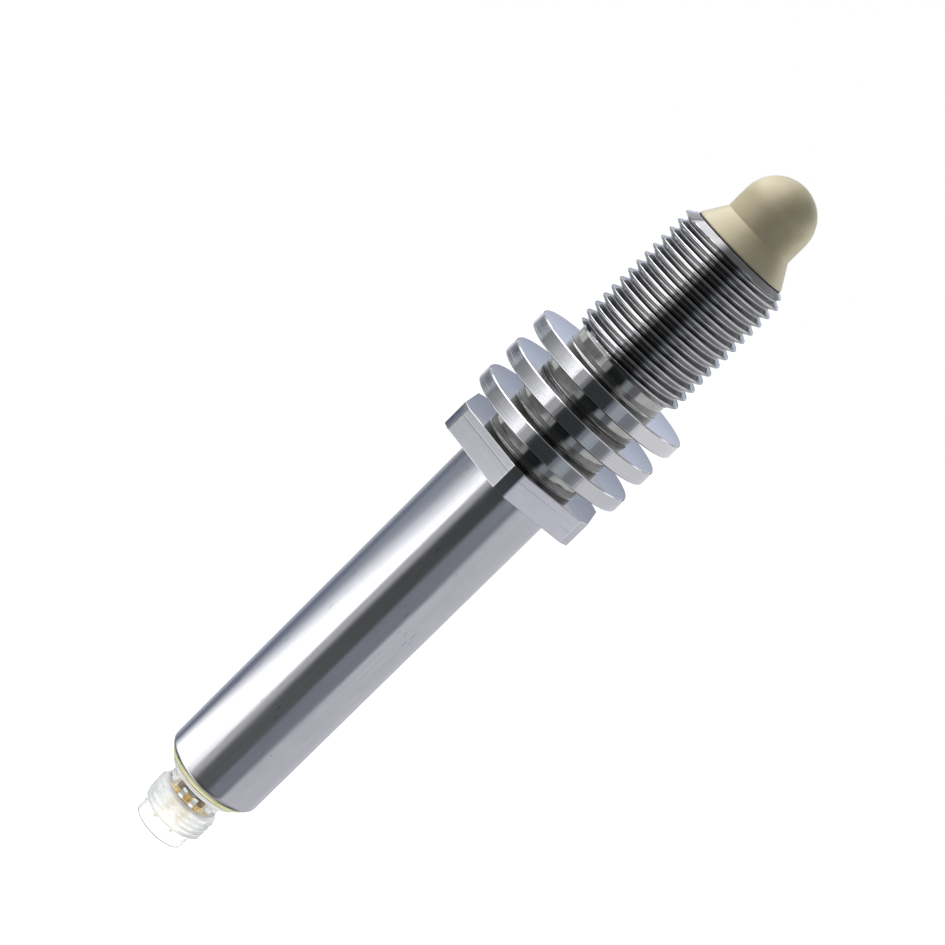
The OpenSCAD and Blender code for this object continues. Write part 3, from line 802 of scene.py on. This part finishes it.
def threaded_front():
    """Process connection: end face, helical thread, relief, first fin, pilot and bore.

    The thread's rows climb with the helix, all others are turned about the axis,
    and the last outline point is the first one again.
    """
    angles = ring_angles(232)
    end_face = rounded([
        (POCKET_R, POCKET_FLOOR),
        (POCKET_R, THREAD_FRONT, 0.08),
        (END_FACE_R, THREAD_FRONT),
    ])
    slope = (END_FACE_R - THREAD_R) / LEAD_IN
    cones = [(THREAD_FRONT, END_FACE_R, slope), (THREAD_REAR, NECK_R, RELIEF_SLOPE)]
    form = (THREAD_R, THREAD_PITCH, THREAD_DEPTH, THREAD_FLANK, THREAD_CREST_ARC)
    thread = thread_rows(THREAD_REAR, THREAD_FRONT, cones, THREAD_CREST_Z, form, angles)
    rest = rounded(
        [(NECK_R, THREAD_REAR)]
        + fin_corners(FIN_TOPS[0])
        + [
            (NECK_R, WELD_Z + WELD_HALF),
            (NECK_R - WELD_HALF, WELD_Z),
            (PILOT_R, WELD_Z, 0.2),
            (PILOT_R, PILOT_END, 0.2),
            (CORE_R, PILOT_END, 0.2),
            (CORE_R, POCKET_FLOOR, 0.1),
            (POCKET_R, POCKET_FLOOR),
        ]
    )
    rows = np.concatenate([
        turned_rows(end_face, angles),
        thread[::-1],
        turned_rows(rest, angles),
    ])
    finish_of = np.zeros((len(rows) - 1, len(angles) - 1), int)
    core = PILOT_R + 1
    finish_of[between_heights(rows, [(THREAD_REAR, THREAD_FRONT - 0.05)], core, THREAD_R + 0.1)] = 1
    necks = [(FIN_TOPS[0] + 0.02, THREAD_REAR), (WELD_Z, FIN_TOPS[0] - FIN_T - 0.1)]
    finish_of[between_heights(rows, necks, core, NECK_R + 0.1)] = 2
    piece = skin("threaded_front", rows, [STEEL, THREAD_STEEL_PAINTED_LIGHT, NECK_STEEL_PAINTED_SHADE], finish_of)
    return fit(piece, "turned_steel", "process_connection")


def weld_bead():
    """Weld between the two turned parts, dressed to two round ridges.

    The section rises as sqrt(1 - s^2) from edge to edge, with narrow grooves at
    its front edge and about a third of its width behind it. A slow wave round
    the axis and a fine saw leave the trace of the welding beads.
    """
    angles = ring_angles(360)
    across = np.linspace(-1, 1, 25)[:, None]
    phase = (angles * WELD_BEADS / TURN + 0.55 * across**2) % 1.0
    ripple = np.where(phase < 0.8, phase / 0.8, (1 - phase) / 0.2)
    body = 1 - across**2
    groove = np.exp(-((across - 0.28) / 0.09)**2) + np.exp(-((across - 0.86) / 0.07)**2)
    radius = NECK_R + WELD_RISE * np.sqrt(body) - 0.10 * groove + 0.002 * ripple * body
    z = WELD_Z + WELD_HALF * across + 0.02 * np.sin(5 * angles) * body
    root = turned_rows(np.array([[NECK_R - WELD_HALF, WELD_Z]]), angles)
    rows = np.concatenate([root, round_points(radius, z, angles), root])
    return fit(skin("weld_bead", rows, [WELD], crease=50.0), "weld_steel", "weld_seam")


def from_flat(angles):
    """Angle from the middle of the nearest of the hexagon's six flats."""
    return (angles + TURN / 12) % (TURN / 6) - TURN / 12


def hexagon_sides(angles):
    """Rows of the hexagon from its top edge to its bottom edge, both with a small round.

    The outline is the smaller of the bar's radius and of the flat's distance
    divided by the cosine of the angle from the flat's middle.
    """
    outline = np.minimum(FIN_R, HEX_HALF / np.cos(from_flat(angles)))
    steps = [(HEX_EDGE + 0.05, 0), (HEX_EDGE, 0), (0.35 * HEX_EDGE, 0.08 * HEX_EDGE)]
    steps += [(0.08 * HEX_EDGE, 0.35 * HEX_EDGE), (0, HEX_EDGE), (0, HEX_EDGE + 0.05)]
    top = [(outline - inset, HEX_TOP - drop) for inset, drop in steps]
    bottom = [(outline - inset, HEX_BOTTOM + drop) for inset, drop in steps[::-1]]
    return np.stack([round_points(radius, z, angles) for radius, z in top + bottom])


def cooling_block():
    """Cooling body: two fins and the spanner hexagon milled from a round bar.

    The fins, the necks and the bore are turned about the axis. The angles take in
    the edges of the flats, where the hexagon meets the bar's round.
    """
    land = math.acos(HEX_HALF / FIN_R)
    breaks = [k * TURN / 6 + s * land for k in range(7) for s in (-1, 1)]
    breaks = [a for a in breaks if 0 < a < TURN]
    angles = np.unique(np.round(np.concatenate([ring_angles(216), breaks]), 9))
    front = rounded(
        [(NECK_R - WELD_HALF, WELD_Z), (NECK_R, FIN_TOPS[1])]
        + fin_corners(FIN_TOPS[1])[1:]
        + fin_corners(FIN_TOPS[2])
        + [(NECK_R, HEX_TOP, NECK_FILLET), (HEX_RING_R, HEX_TOP)]
    )
    rear = rounded([
        (HEX_RING_R, HEX_BOTTOM),
        (SPIGOT_R, HEX_BOTTOM, 0.1),
        (SPIGOT_R, SPIGOT_END, 0.3),
        (CORE_R, SPIGOT_END, 0.2),
        (CORE_R, PILOT_END - PILOT_ROOM, 0.2),
        (PILOT_R + PILOT_GAP, PILOT_END - PILOT_ROOM, 0.2),
        (PILOT_R + PILOT_GAP, WELD_Z),
        (NECK_R - WELD_HALF, WELD_Z),
    ])
    front_rows = turned_rows(front, angles)
    rows = np.concatenate([front_rows, hexagon_sides(angles), turned_rows(rear, angles)])
    # a flat is the face row between its top and bottom edge and the strip next to each
    milled = np.zeros((len(rows) - 1, len(angles) - 1), int)
    middle = (angles[1:] + angles[:-1]) / 2
    first = len(front_rows) + 4
    milled[first:first + 3] = np.abs(from_flat(middle)) < land
    necks = [(FIN_TOPS[2] + 0.02, FIN_TOPS[1] - FIN_T - 0.1), (HEX_TOP + 0.02, FIN_TOPS[2] - FIN_T - 0.1)]
    milled[between_heights(rows, necks, SPIGOT_R + 0.1, NECK_R + 0.3)] = 2
    piece = skin("cooling_block", rows, [STEEL, MILLED, NECK_STEEL_PAINTED_SHADE], milled)
    return fit(piece, "turned_steel", "cooling_body")


def drawn_tube():
    """Housing tube: outside, rolled rear edge, bore and front end, turned in one loop.

    The rear edge is an arc of radius q from the outside to the bore, which it
    meets where q (1 - cos angle) is the wall's thickness.
    """
    turn = math.acos(1 - (TUBE_R - TUBE_BORE_R) / TUBE_RIM)
    angle = np.linspace(0, turn, 19)[:, None]
    middle = TUBE_END + TUBE_RIM * math.sin(turn)
    edge = np.hstack([TUBE_R - TUBE_RIM * (1 - np.cos(angle)), middle - TUBE_RIM * np.sin(angle)])
    outside = rounded([
        (TUBE_BORE_R, TUBE_SEAM_Z),
        (TUBE_BORE_R, HEX_BOTTOM, 0.05),
        (TUBE_R, HEX_BOTTOM, 0.08),
        (TUBE_R, middle + 0.05),
    ])
    outline = np.vstack([outside, edge, [[TUBE_BORE_R, TUBE_SEAM_Z]]])
    rows = turned_rows(outline, ring_angles(216))
    return fit(skin("drawn_tube", rows, [TUBE]), "tube_steel", "housing_tube")


def keyed_socket(angles):
    """Rows of the socket from the middle of its floor to the nose, with the coding key.

    The wall's radius drops by the key's height within half the key's width of
    the +Y direction. The drop sets in softly, as k^2 (3 - 2 k).
    """
    side = np.abs(np.cos(angles)) * SOCKET_R
    key = np.where(np.sin(angles) > 0, np.clip((KEY_HALF + 0.1 - side) / 0.2, 0, 1), 0)
    keyed = SOCKET_R - KEY_H * key * key * (3 - 2 * key)
    rings = [(0.0, SOCKET_FLOOR), (3.2, SOCKET_FLOOR)]
    rings += [(keyed, SOCKET_FLOOR), (keyed, KEY_START_Z + 0.15), (keyed + 0.1 * key, KEY_START_Z + 0.03)]
    rings += [(SOCKET_R, KEY_START_Z), (SOCKET_R, NOSE_END + 0.3), (SOCKET_R, NOSE_END + 0.25)]
    return np.stack([round_points(radius, z, angles) for radius, z in rings])


def clear_plug():
    """Plug connector in one clear moulding, from the socket's floor to the cavity's floor.

    Nose, helical thread, neck, flange and shank are turned about the axis.
    """
    angles = ring_angles(200)
    nose = rounded([
        (SOCKET_R, NOSE_END + 0.2),
        (SOCKET_R, NOSE_END, 0.12),
        (NOSE_R, NOSE_END, 0.3),
        (NOSE_R, PLUG_REAR, 0.1),
        (PLUG_R - PLUG_CHAMFER - 0.12, PLUG_REAR),
    ])
    cones = [
        (PLUG_REAR, PLUG_R - PLUG_CHAMFER, 1.0),
        (PLUG_FRONT, PLUG_NECK_R + 0.12, -0.8),
    ]
    form = (PLUG_R, PLUG_PITCH, PLUG_DEPTH, PLUG_FLANK, PLUG_CREST_ARC)
    thread = thread_rows(PLUG_REAR, PLUG_FRONT, cones, PLUG_REAR + 0.5, form, angles)
    rest = rounded([
        (PLUG_NECK_R + 0.08, PLUG_FRONT),
        (PLUG_NECK_R, PLUG_FRONT + 0.05, 0.04),
        (PLUG_NECK_R, FLANGE_END, 0.2),
        (FLANGE_R, FLANGE_END, 0.25),
        (FLANGE_R, CAP_END, 0.1),
        (SHANK_R, CAP_END, 0.1),
        (SHANK_R, SHANK_RING_Z - SHANK_GROOVE_HALF, 0.04),
        (SHANK_GROOVE_R, SHANK_RING_Z - SHANK_GROOVE_HALF, 0.1),
        (SHANK_GROOVE_R, SHANK_RING_Z + SHANK_GROOVE_HALF, 0.1),
        (SHANK_R, SHANK_RING_Z + SHANK_GROOVE_HALF, 0.04),
        (SHANK_R, SHANK_TOP, 0.15),
        (CAVITY_R, SHANK_TOP, 0.1),
        (CAVITY_R, DISC_BASE, 0.1),
        (BOSS_BORE_R, DISC_BASE, 0.1),
        (BOSS_BORE_R, CARRIER_BASE, 0.1),
        (0.0, CARRIER_BASE),
    ])
    rows = np.concatenate([
        keyed_socket(angles),
        turned_rows(nose, angles),
        thread,
        turned_rows(rest, angles),
    ])
    finish_of = np.zeros((len(rows) - 1, len(angles) - 1), int)
    flange = (FLANGE_END - 0.1, CAP_END + 0.1)
    turns = (PLUG_REAR - 0.02, PLUG_FRONT + 0.06)
    chamfer = (PLUG_FRONT - 0.45, PLUG_FRONT + 0.06)
    finish_of[between_heights(rows, [flange], SHANK_R + 0.2, FLANGE_R + 0.1)] = 1
    finish_of[between_heights(rows, [turns], CAVITY_R + 0.1, PLUG_R + 0.1)] = 2
    finish_of[between_heights(rows, [chamfer], CAVITY_R + 0.1, PLUG_R + 0.1)] = 1
    piece = skin("clear_plug", rows, [CLEAR, FROSTED, MATT], finish_of)
    return fit(piece, "clear_plastic", "connector_body")


moulded_tip()
threaded_front()
weld_bead()
cooling_block()
drawn_tube()
clear_plug()

# Finishes of the pieces that keep their solids

RUBBER = plastic("seal_rubber", (0.010, 0.010, 0.011), (0.022, 0.022, 0.023), 0.55, 0.25, 0.006)
CREAM = cap_cream()
CARRIER = carrier_grey()
WHITE = plastic("insulator_white", (0.80, 0.80, 0.77), (0.87, 0.87, 0.85), 0.42, 0.6, 0.003)
FEED = plastic("feed_plastic", (0.56, 0.50, 0.36), (0.62, 0.56, 0.43), 0.40, 0.4, 0.003)
HOLDER = plastic("holder_black", (0.020, 0.020, 0.023), (0.034, 0.034, 0.037), 0.46, 0.3, 0.004)
CHIP = plastic("chip_black", (0.016, 0.016, 0.018), (0.028, 0.028, 0.030), 0.50, 0.15, 0.003)
CERAMIC = plastic("capacitor_tan", (0.36, 0.27, 0.18), (0.46, 0.36, 0.25), 0.36, 0.3, 0.002)
BRASS = electrode_brass()
# the gold pins are painted dark, as shadow, from 0.7 mm under the carrier upwards
GOLD = gold_pin("pin_gold", (0.13, 0.095, 0.04), CARRIER_BASE - 0.7)
TINNED = gold_pin("tinned_pin", (0.93, 0.93, 0.93), SOCKET_FLOOR)
BOARD = board_green()
GREEN_LENS = lens_plastic("led_green", (0.10, 0.50, 0.16), (0.18, 0.62, 0.24))
YELLOW_LENS = lens_plastic("led_yellow", (0.74, 0.48, 0.06), (0.86, 0.60, 0.12))

KEPT = {
    "tip_gasket": RUBBER,
    "shank_ring": RUBBER,
    "cap_ring": RUBBER,
    "active_electrode": BRASS,
    "guard_electrode": BRASS,
    "signal_rod": BRASS,
    "guard_lead": BRASS,
    "electrode_spacer": WHITE,
    "rod_sleeve": WHITE,
    "insulating_sleeve": WHITE,
    "feed_sleeve": FEED,
    "front_holder": HOLDER,
    "main_board": BOARD,
    "pin_board": BOARD,
    "sensing_chip": CHIP,
    "controller_chip": CHIP,
    "voltage_regulator": CHIP,
    "output_driver": CHIP,
    "chip_capacitors": CERAMIC,
    "power_led": GREEN_LENS,
    "switching_led": YELLOW_LENS,
    "pin_carrier": CARRIER,
    "rear_cap": CREAM,
    # pins 1 and 2 stand on the far side
    "contact_pin_1": TINNED,
    "contact_pin_2": TINNED,
    "contact_pin_3": GOLD,
    "contact_pin_4": GOLD,
    "contact_pin_5": GOLD,
}
for node, finish in KEPT.items():
    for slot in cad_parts[node].material_slots:
        slot.material = finish

# Studio. Its sizes are in metres.

FLOOR_Z = -0.25
FLOOR_R = 4.0
CEILING_Z = 0.17
WALL_R = 0.25


def glow(name):
    """Light of a panel, painted on its points."""
    finish = bpy.data.materials.new(name)
    finish.use_nodes = True
    nodes = finish.node_tree.nodes
    nodes.clear()
    out = nodes.new("ShaderNodeOutputMaterial")
    light = nodes.new("ShaderNodeEmission")
    paint = nodes.new("ShaderNodeAttribute")
    paint.attribute_name = "light"
    finish.node_tree.links.new(paint.outputs["Color"], light.inputs["Color"])
    finish.node_tree.links.new(light.outputs[0], out.inputs["Surface"])
    return finish


def soft_step(value, low, high):
    """Smooth rise from 0 at low to 1 at high."""
    share = np.clip((value - low) / (high - low), 0, 1)
    return share * share * (3 - 2 * share)


def lay(light, share, colour):
    """Colour laid over a painted light by a share from 0 to 1."""
    return light + share[..., None] * (np.array(colour) - light)


def band(azimuth, start, end, rise=4.0, fall=4.0):
    """Share of a band between two azimuths, with its own softness at each side."""
    left = soft_step(azimuth, start - rise, start + rise)
    return left * (1 - soft_step(azimuth, end - fall, end + fall))


# Levels of the wall where it is mirrored by way of a fin's top, and above that: azimuth, level
HIGH_WALL = (
    (-180, 0.40), (-165, 0.36), (-156, 0.17), (-110, 0.10), (-80, 0.06), (-62, 0.095), (-52, 0.08),
    (-28, 0.06), (-14, 0.009), (14, 0.009), (26, 0.075), (33, 0.085), (44, 0.032), (52, 0.034),
    (62, 0.07), (80, 0.10), (110, 0.12), (156, 0.15), (165, 0.36), (180, 0.40),
)
TOP_WALL = (
    (-180, 0.40), (-172, 0.60), (-150, 0.70), (-138, 3.2), (-72, 3.7), (-38, 2.5), (-32, 0.6),
    (-20, 0.3), (-12, 0.06), (20, 0.06), (30, 0.5), (60, 1.8), (135, 1.4), (150, 0.36), (180, 0.40),
)
# Lift of the high wall in front, where the necks' feet mirror it: height in metres, factor
FRONT_LIFT = ((0.026, 1.0), (0.030, 6.0), (0.044, 6.0), (0.050, 3.8))
# Lift of the high wall behind, as each fin's top mirrors it: height in metres, factor
REAR_LIFT = ((0.02, 0.7), (0.0255, 0.86), (0.0275, 1.0), (0.0296, 1.16), (0.0317, 1.44), (0.037, 1.9))
# Level across the upper softbox: azimuth, level
SOFTBOX_RAMP = (
    (-100, 0.31), (-84, 0.45), (-72, 0.75), (-64, 0.98), (-56, 1.28), (-48, 1.78), (-40, 2.4),
)
# Slats at the heights that the necks mirror: height of the middle and half width in metres
SLATS = ((-0.0343, 0.0019), (-0.0437, 0.0022), (-0.0536, 0.0022), (-0.0636, 0.0022))


def from_table(place, table):
    """Level read from a table of places and levels."""
    places, levels = zip(*table)
    return np.interp(place, places, levels)


def side_wall(azimuth, height):
    """Light of the wall up to the fins, which is what rims, necks, hexagon and tube mirror.

    Bands lie one over another: a pale back wall, a grey left wall with a dark
    flag, the softbox with a long soft left edge that moves out towards its
    foot, a grey strip beside it, the dark side of the camera and a grey flag
    on its right. Narrow slats cross them: grey over the softbox, dark on the
    camera's side and pale at the far left and right.
    """
    upper = soft_step(height, -0.085, -0.06)
    foot = soft_step(-height, 0.085, 0.18)
    light = np.array([0.66, 0.66, 0.725]) + 0 * azimuth[..., None]
    light = lay(light, soft_step(height, -0.056, -0.036), (0.84, 0.84, 0.89))
    light = lay(light, band(azimuth, -146, -14, 10), (0.34, 0.365, 0.44))
    light = lay(light, upper * band(azimuth, -149, -98, 8, 6), (0.24, 0.26, 0.32))
    light = lay(light, band(azimuth, -136, -117, 9, 7), (0.20, 0.225, 0.30))
    light = lay(light, upper * band(azimuth, -136, -117, 9, 7), (0.07, 0.085, 0.125))
    edge = np.interp(height, [-0.19, -0.156, -0.107, -0.085], [-112, -89, -65, -50])
    soft = np.interp(height, [-0.19, -0.156, -0.107, -0.085], [18, 30, 42, 42])
    end = np.interp(height, [-0.16, -0.13, -0.107, -0.085], [-35, -34, -33, -32])
    light = lay(light, band(azimuth, edge, end, soft, 1.5), (2.2, 2.2, 2.25))
    ramp = from_table(azimuth, SOFTBOX_RAMP)[..., None] * np.array([1.0, 1.01, 1.05])
    light = lay(light, upper * band(azimuth, -98, -33, 6, 1.5), ramp)
    light = lay(light, soft_step(-height, 0.15, 0.18) * band(azimuth, -50, end, 5, 1.5), (1.35, 1.34, 1.38))
    right = np.interp(height, [-0.18, -0.156, -0.107, -0.08, -0.066, -0.061], [47, 51, 55, 51, 50, 59])
    light = lay(light, band(azimuth, end, right, 1.5, 6), (0.56, 0.56, 0.58))
    light = lay(light, band(azimuth, -18, right, 6, 6), (0.075, 0.08, 0.085))
    light = lay(light, foot * band(azimuth, -18, right, 6, 6), (0.13, 0.135, 0.14))
    light = lay(light, upper * band(azimuth, -17, 30, 4, 4), (0.055, 0.062, 0.065))
    light = lay(light, band(azimuth, 19, right, 3, 6), (0.25, 0.265, 0.31))
    light = lay(light, upper * band(azimuth, 26, 41, 3, 3), (0.40, 0.44, 0.48))
    light = lay(light, upper * band(azimuth, 41, 54, 3, 3), (0.23, 0.24, 0.27))
    near = np.min([np.abs(height - middle) - half for middle, half in SLATS], axis=0)
    slats = 1 - soft_step(near, -0.0004, 0.0005)
    light = lay(light, slats * band(azimuth, -144, -103, 6, 4), (0.98, 0.99, 1.01))
    light = lay(light, slats * band(azimuth, 66, 170, 8, 6), (0.90, 0.90, 0.92))
    light = lay(light, slats * band(azimuth, -103, -17, 4, 3), (0.40, 0.41, 0.42))
    light = lay(light, slats * band(azimuth, -103, -31, 4, 1.5), (0.26, 0.265, 0.27))
    return lay(light, slats * band(azimuth, -17, 22, 4, 4), (0.018, 0.022, 0.023))


def high_wall(azimuth, height):
    """Light of the wall above the fins, which their tops, the necks' feet and the thread mirror.

    One table gives the levels. They are lifted at the heights that the feet of
    the necks mirror, and behind, where each fin's top mirrors its own height.
    """
    behind = soft_step(np.abs(azimuth), 150, 168)
    front_lift = from_table(height, FRONT_LIFT)
    lift = front_lift + behind * (from_table(height, REAR_LIFT) - front_lift)
    tint = np.array([1.0, 1.02, 1.03]) + behind[..., None] * np.array([0.0, 0.07, 0.30])
    return (from_table(azimuth, HIGH_WALL) * lift)[..., None] * tint


def wall_light(azimuth, height):
    """Light of the studio's round wall at an azimuth in degrees and a height in metres.

    Azimuth is counted from the camera's side, positive to the right. The wall
    has three parts, one above another, that blend over a short height.
    """
    light = side_wall(azimuth, height)
    light = lay(light, soft_step(height, -0.02, 0.015), high_wall(azimuth, height))
    top = from_table(azimuth, TOP_WALL)[..., None] * np.array([1.0, 1.0, 1.03])
    return lay(light, soft_step(height, 0.075, 0.11), top)


def ceiling_light(azimuth, reach):
    """Light of the ceiling.

    It is dim, rises outwards behind and is pale at the right. Softboxes lie at
    the left and at the back left.
    """
    light = np.array([0.17, 0.175, 0.18]) + 0 * azimuth[..., None]
    light = lay(light, band(azimuth, 40, 130, 15, 15) * soft_step(reach, 0.03, 0.07), (0.7, 0.7, 0.72))
    behind = (0.15 + 1.2 * reach)[..., None] * np.array([1.0, 1.02, 1.06])
    light = lay(light, soft_step(-reach * np.cos(np.radians(azimuth)), 0.0, 0.04), behind)
    share = band(azimuth, -171, -112, 12, 10) * soft_step(reach, 0.038, 0.07)
    light = lay(light, share * (1 - soft_step(reach, 0.19, 0.24)), (1.7, 1.7, 1.74))
    return lay(light, band(azimuth, -126, -45, 12, 12) * soft_step(reach, 0.03, 0.06), (3.4, 3.4, 3.5))


def foot_light(azimuth, reach):
    """Light of the apron under the sensor.

    The wall's foot runs on inwards, a little dimmer. A dark patch in front keeps
    the tube's rolled edge dark there, and the rear is dark too.
    """
    light = 0.8 * wall_light(azimuth, FLOOR_Z + 0.06 + 0 * azimuth)
    light = lay(light, band(azimuth, -50, 60, 20, 10) * soft_step(-reach, -0.16, -0.10), (0.09, 0.09, 0.095))
    start = np.interp(np.abs(azimuth), [105, 142], [0.03, -0.03])
    rear = soft_step(np.abs(azimuth), 85, 110) * soft_step(reach - start, 0.0, 0.03)
    return lay(light, rear * (1 - soft_step(reach, 0.14, 0.22)), (0.17, 0.17, 0.18))


def studio_points(azimuth, reach, height):
    """Points at an azimuth in degrees from the camera's side, a reach and a height."""
    across = np.radians(azimuth) + 0 * (reach + height)
    return np.stack([reach * np.sin(across), -reach * np.cos(across), height + 0 * across], axis=-1)


def panel(name, points, light):
    """Grid of points with its painted light, seen only in reflections."""
    count, across = points.shape[:2]
    mesh = bpy.data.meshes.new(name)
    mesh.from_pydata(points.reshape(-1, 3).tolist(), [], grid_faces(count, across))
    paint = mesh.color_attributes.new("light", "FLOAT_COLOR", "POINT")
    full = np.ones((count * across, 4), np.float32)
    full[:, :3] = light.reshape(-1, 3)
    paint.data.foreach_set("color", full.ravel())
    mesh.materials.append(glow(name))
    sheet = bpy.data.objects.new(name, mesh)
    bpy.context.scene.collection.objects.link(sheet)
    sheet.visible_camera = False
    sheet.visible_diffuse = False
    sheet.visible_transmission = False
    sheet.visible_shadow = False


def round_studio():
    """Wall, ceiling and apron round the sensor, which give the steel something to mirror.

    The wall's rows stand closer together where the slats and the fine levels are.
    """
    azimuth = np.linspace(-180, 180, 361)[None, :]
    height = np.concatenate([
        np.linspace(FLOOR_Z, -0.072, 36, endpoint=False),
        np.linspace(-0.072, -0.03, 106, endpoint=False),
        np.linspace(-0.03, 0.02, 14, endpoint=False),
        np.linspace(0.02, 0.04, 16, endpoint=False),
        np.linspace(0.04, CEILING_Z, 27),
    ])[:, None]
    light = wall_light(azimuth + 0 * height, height + 0 * azimuth)
    panel("studio_wall", studio_points(azimuth, WALL_R, height), light)
    reach = np.linspace(0.0005, WALL_R, 60)[:, None]
    for name, z, light_of in (("ceiling", CEILING_Z, ceiling_light), ("apron", FLOOR_Z + 0.004, foot_light)):
        light = light_of(azimuth + 0 * reach, reach + 0 * azimuth)
        panel(name, studio_points(azimuth, reach, z), light)


def level_floor(z, reach, finish):
    """Round floor: a fan of triangles from the axis out to its reach."""
    spokes = 32
    rim = studio_points(np.linspace(-180, 180, spokes + 1), reach, z)
    points = np.vstack([[[0.0, 0.0, z]], rim])
    k = np.arange(1, spokes + 1)
    mesh = bpy.data.meshes.new("floor")
    mesh.from_pydata(points.tolist(), [], np.stack([0 * k, k, k + 1], axis=-1).tolist())
    mesh.materials.append(finish)
    sheet = bpy.data.objects.new("floor", mesh)
    bpy.context.scene.collection.objects.link(sheet)


def soft_lamp(name, azimuth, elevation, distance, size, power, aim=-0.02):
    """Square soft lamp that faces the axis at a height and isn't mirrored itself."""
    turned = math.radians(azimuth)
    raised = math.radians(elevation)
    level = math.cos(raised)
    away = np.array([math.sin(turned) * level, -math.cos(turned) * level, math.sin(raised)])
    side = np.cross([0.0, 0.0, 1.0], away)
    side = side / np.linalg.norm(side)
    matrix = np.eye(4)
    matrix[:3, 0] = side
    matrix[:3, 1] = np.cross(away, side)
    matrix[:3, 2] = away
    matrix[:3, 3] = away * distance + np.array([0.0, 0.0, aim])
    data = bpy.data.lights.new(name, "AREA")
    data.shape = "SQUARE"
    data.size = size
    data.energy = power
    lamp = bpy.data.objects.new(name, data)
    lamp.matrix_world = matrix.T.tolist()
    lamp.visible_camera = False
    lamp.visible_glossy = False
    lamp.visible_transmission = False
    bpy.context.scene.collection.objects.link(lamp)


def seen_by_eye(nodes, links, strength):
    """Strength for camera, glossy and transmission rays, and none for others."""
    path = nodes.new("ShaderNodeLightPath")
    total = path.outputs["Is Camera Ray"]
    for kind in ("Is Glossy Ray", "Is Transmission Ray"):
        node = nodes.new("ShaderNodeMath")
        node.operation = "MAXIMUM"
        links.new(total, node.inputs[0])
        links.new(path.outputs[kind], node.inputs[1])
        total = node.outputs[0]
    node = nodes.new("ShaderNodeMath")
    node.operation = "MULTIPLY"
    links.new(total, node.inputs[0])
    node.inputs[1].default_value = strength
    return node.outputs[0]


def white_floor():
    """Pale floor: a diffuse white that keeps the shadow, lifted to white where it is seen."""
    finish = bpy.data.materials.new("white_floor")
    finish.use_nodes = True
    nodes = finish.node_tree.nodes
    links = finish.node_tree.links
    nodes.clear()
    out = nodes.new("ShaderNodeOutputMaterial")
    both = nodes.new("ShaderNodeAddShader")
    matt = nodes.new("ShaderNodeBsdfDiffuse")
    matt.inputs["Color"].default_value = shade(0.8, 0.8, 0.8)
    lift = nodes.new("ShaderNodeEmission")
    links.new(seen_by_eye(nodes, links, 0.95), lift.inputs["Strength"])
    links.new(matt.outputs[0], both.inputs[0])
    links.new(lift.outputs[0], both.inputs[1])
    links.new(both.outputs[0], out.inputs["Surface"])
    return finish


def white_world(level):
    """World: white where it is seen, and an even soft light of a given level elsewhere."""
    world = bpy.data.worlds.new("studio")
    world.use_nodes = True
    nodes = world.node_tree.nodes
    links = world.node_tree.links
    nodes.clear()
    out = nodes.new("ShaderNodeOutputWorld")
    sky = nodes.new("ShaderNodeBackground")
    sky.inputs["Color"].default_value = shade(1.0, 1.0, 1.0)
    node = nodes.new("ShaderNodeMath")
    node.operation = "ADD"
    links.new(seen_by_eye(nodes, links, 1.0 - level), node.inputs[0])
    node.inputs[1].default_value = level
    links.new(node.outputs[0], sky.inputs["Strength"])
    links.new(sky.outputs[0], out.inputs["Surface"])
    bpy.context.scene.world = world


def place_camera():
    """Camera at the photograph's place: 11.7 degrees above, rolled by 45.2 degrees."""
    place = np.array([0.0, -0.38419, 0.05027])
    aim = np.array([-0.004999, 0.0, -0.029607])
    roll = math.radians(45.19)
    ahead = (aim - place) / np.linalg.norm(aim - place)
    side = np.cross(ahead, [0, 0, 1])
    side = side / np.linalg.norm(side)
    up = np.cross(side, ahead)
    right = math.cos(roll) * side + math.sin(roll) * up
    top = math.cos(roll) * up - math.sin(roll) * side
    matrix = np.eye(4)
    matrix[:3, 0] = right
    matrix[:3, 1] = top
    matrix[:3, 2] = -ahead
    matrix[:3, 3] = place
    data = bpy.data.cameras.new("camera")
    data.lens = 94.05
    data.sensor_width = 36.0
    data.clip_start = 0.01
    camera = bpy.data.objects.new("camera", data)
    camera.matrix_world = matrix.T.tolist()
    bpy.context.scene.collection.objects.link(camera)
    bpy.context.scene.camera = camera


round_studio()
level_floor(FLOOR_Z, FLOOR_R, white_floor())
soft_lamp("key_lamp", -100, 38, 0.6, 0.34, 3.1)
soft_lamp("rim_lamp", 128, 6, 0.6, 0.34, 3.2)
soft_lamp("plug_lamp", -52, -28, 0.09, 0.06, 0.067, -0.104)
soft_lamp("plug_fill", 50, -28, 0.09, 0.06, 0.090, -0.104)
white_world(0.19)
place_camera()

scene = bpy.context.scene
scene.view_settings.view_transform = "Standard"
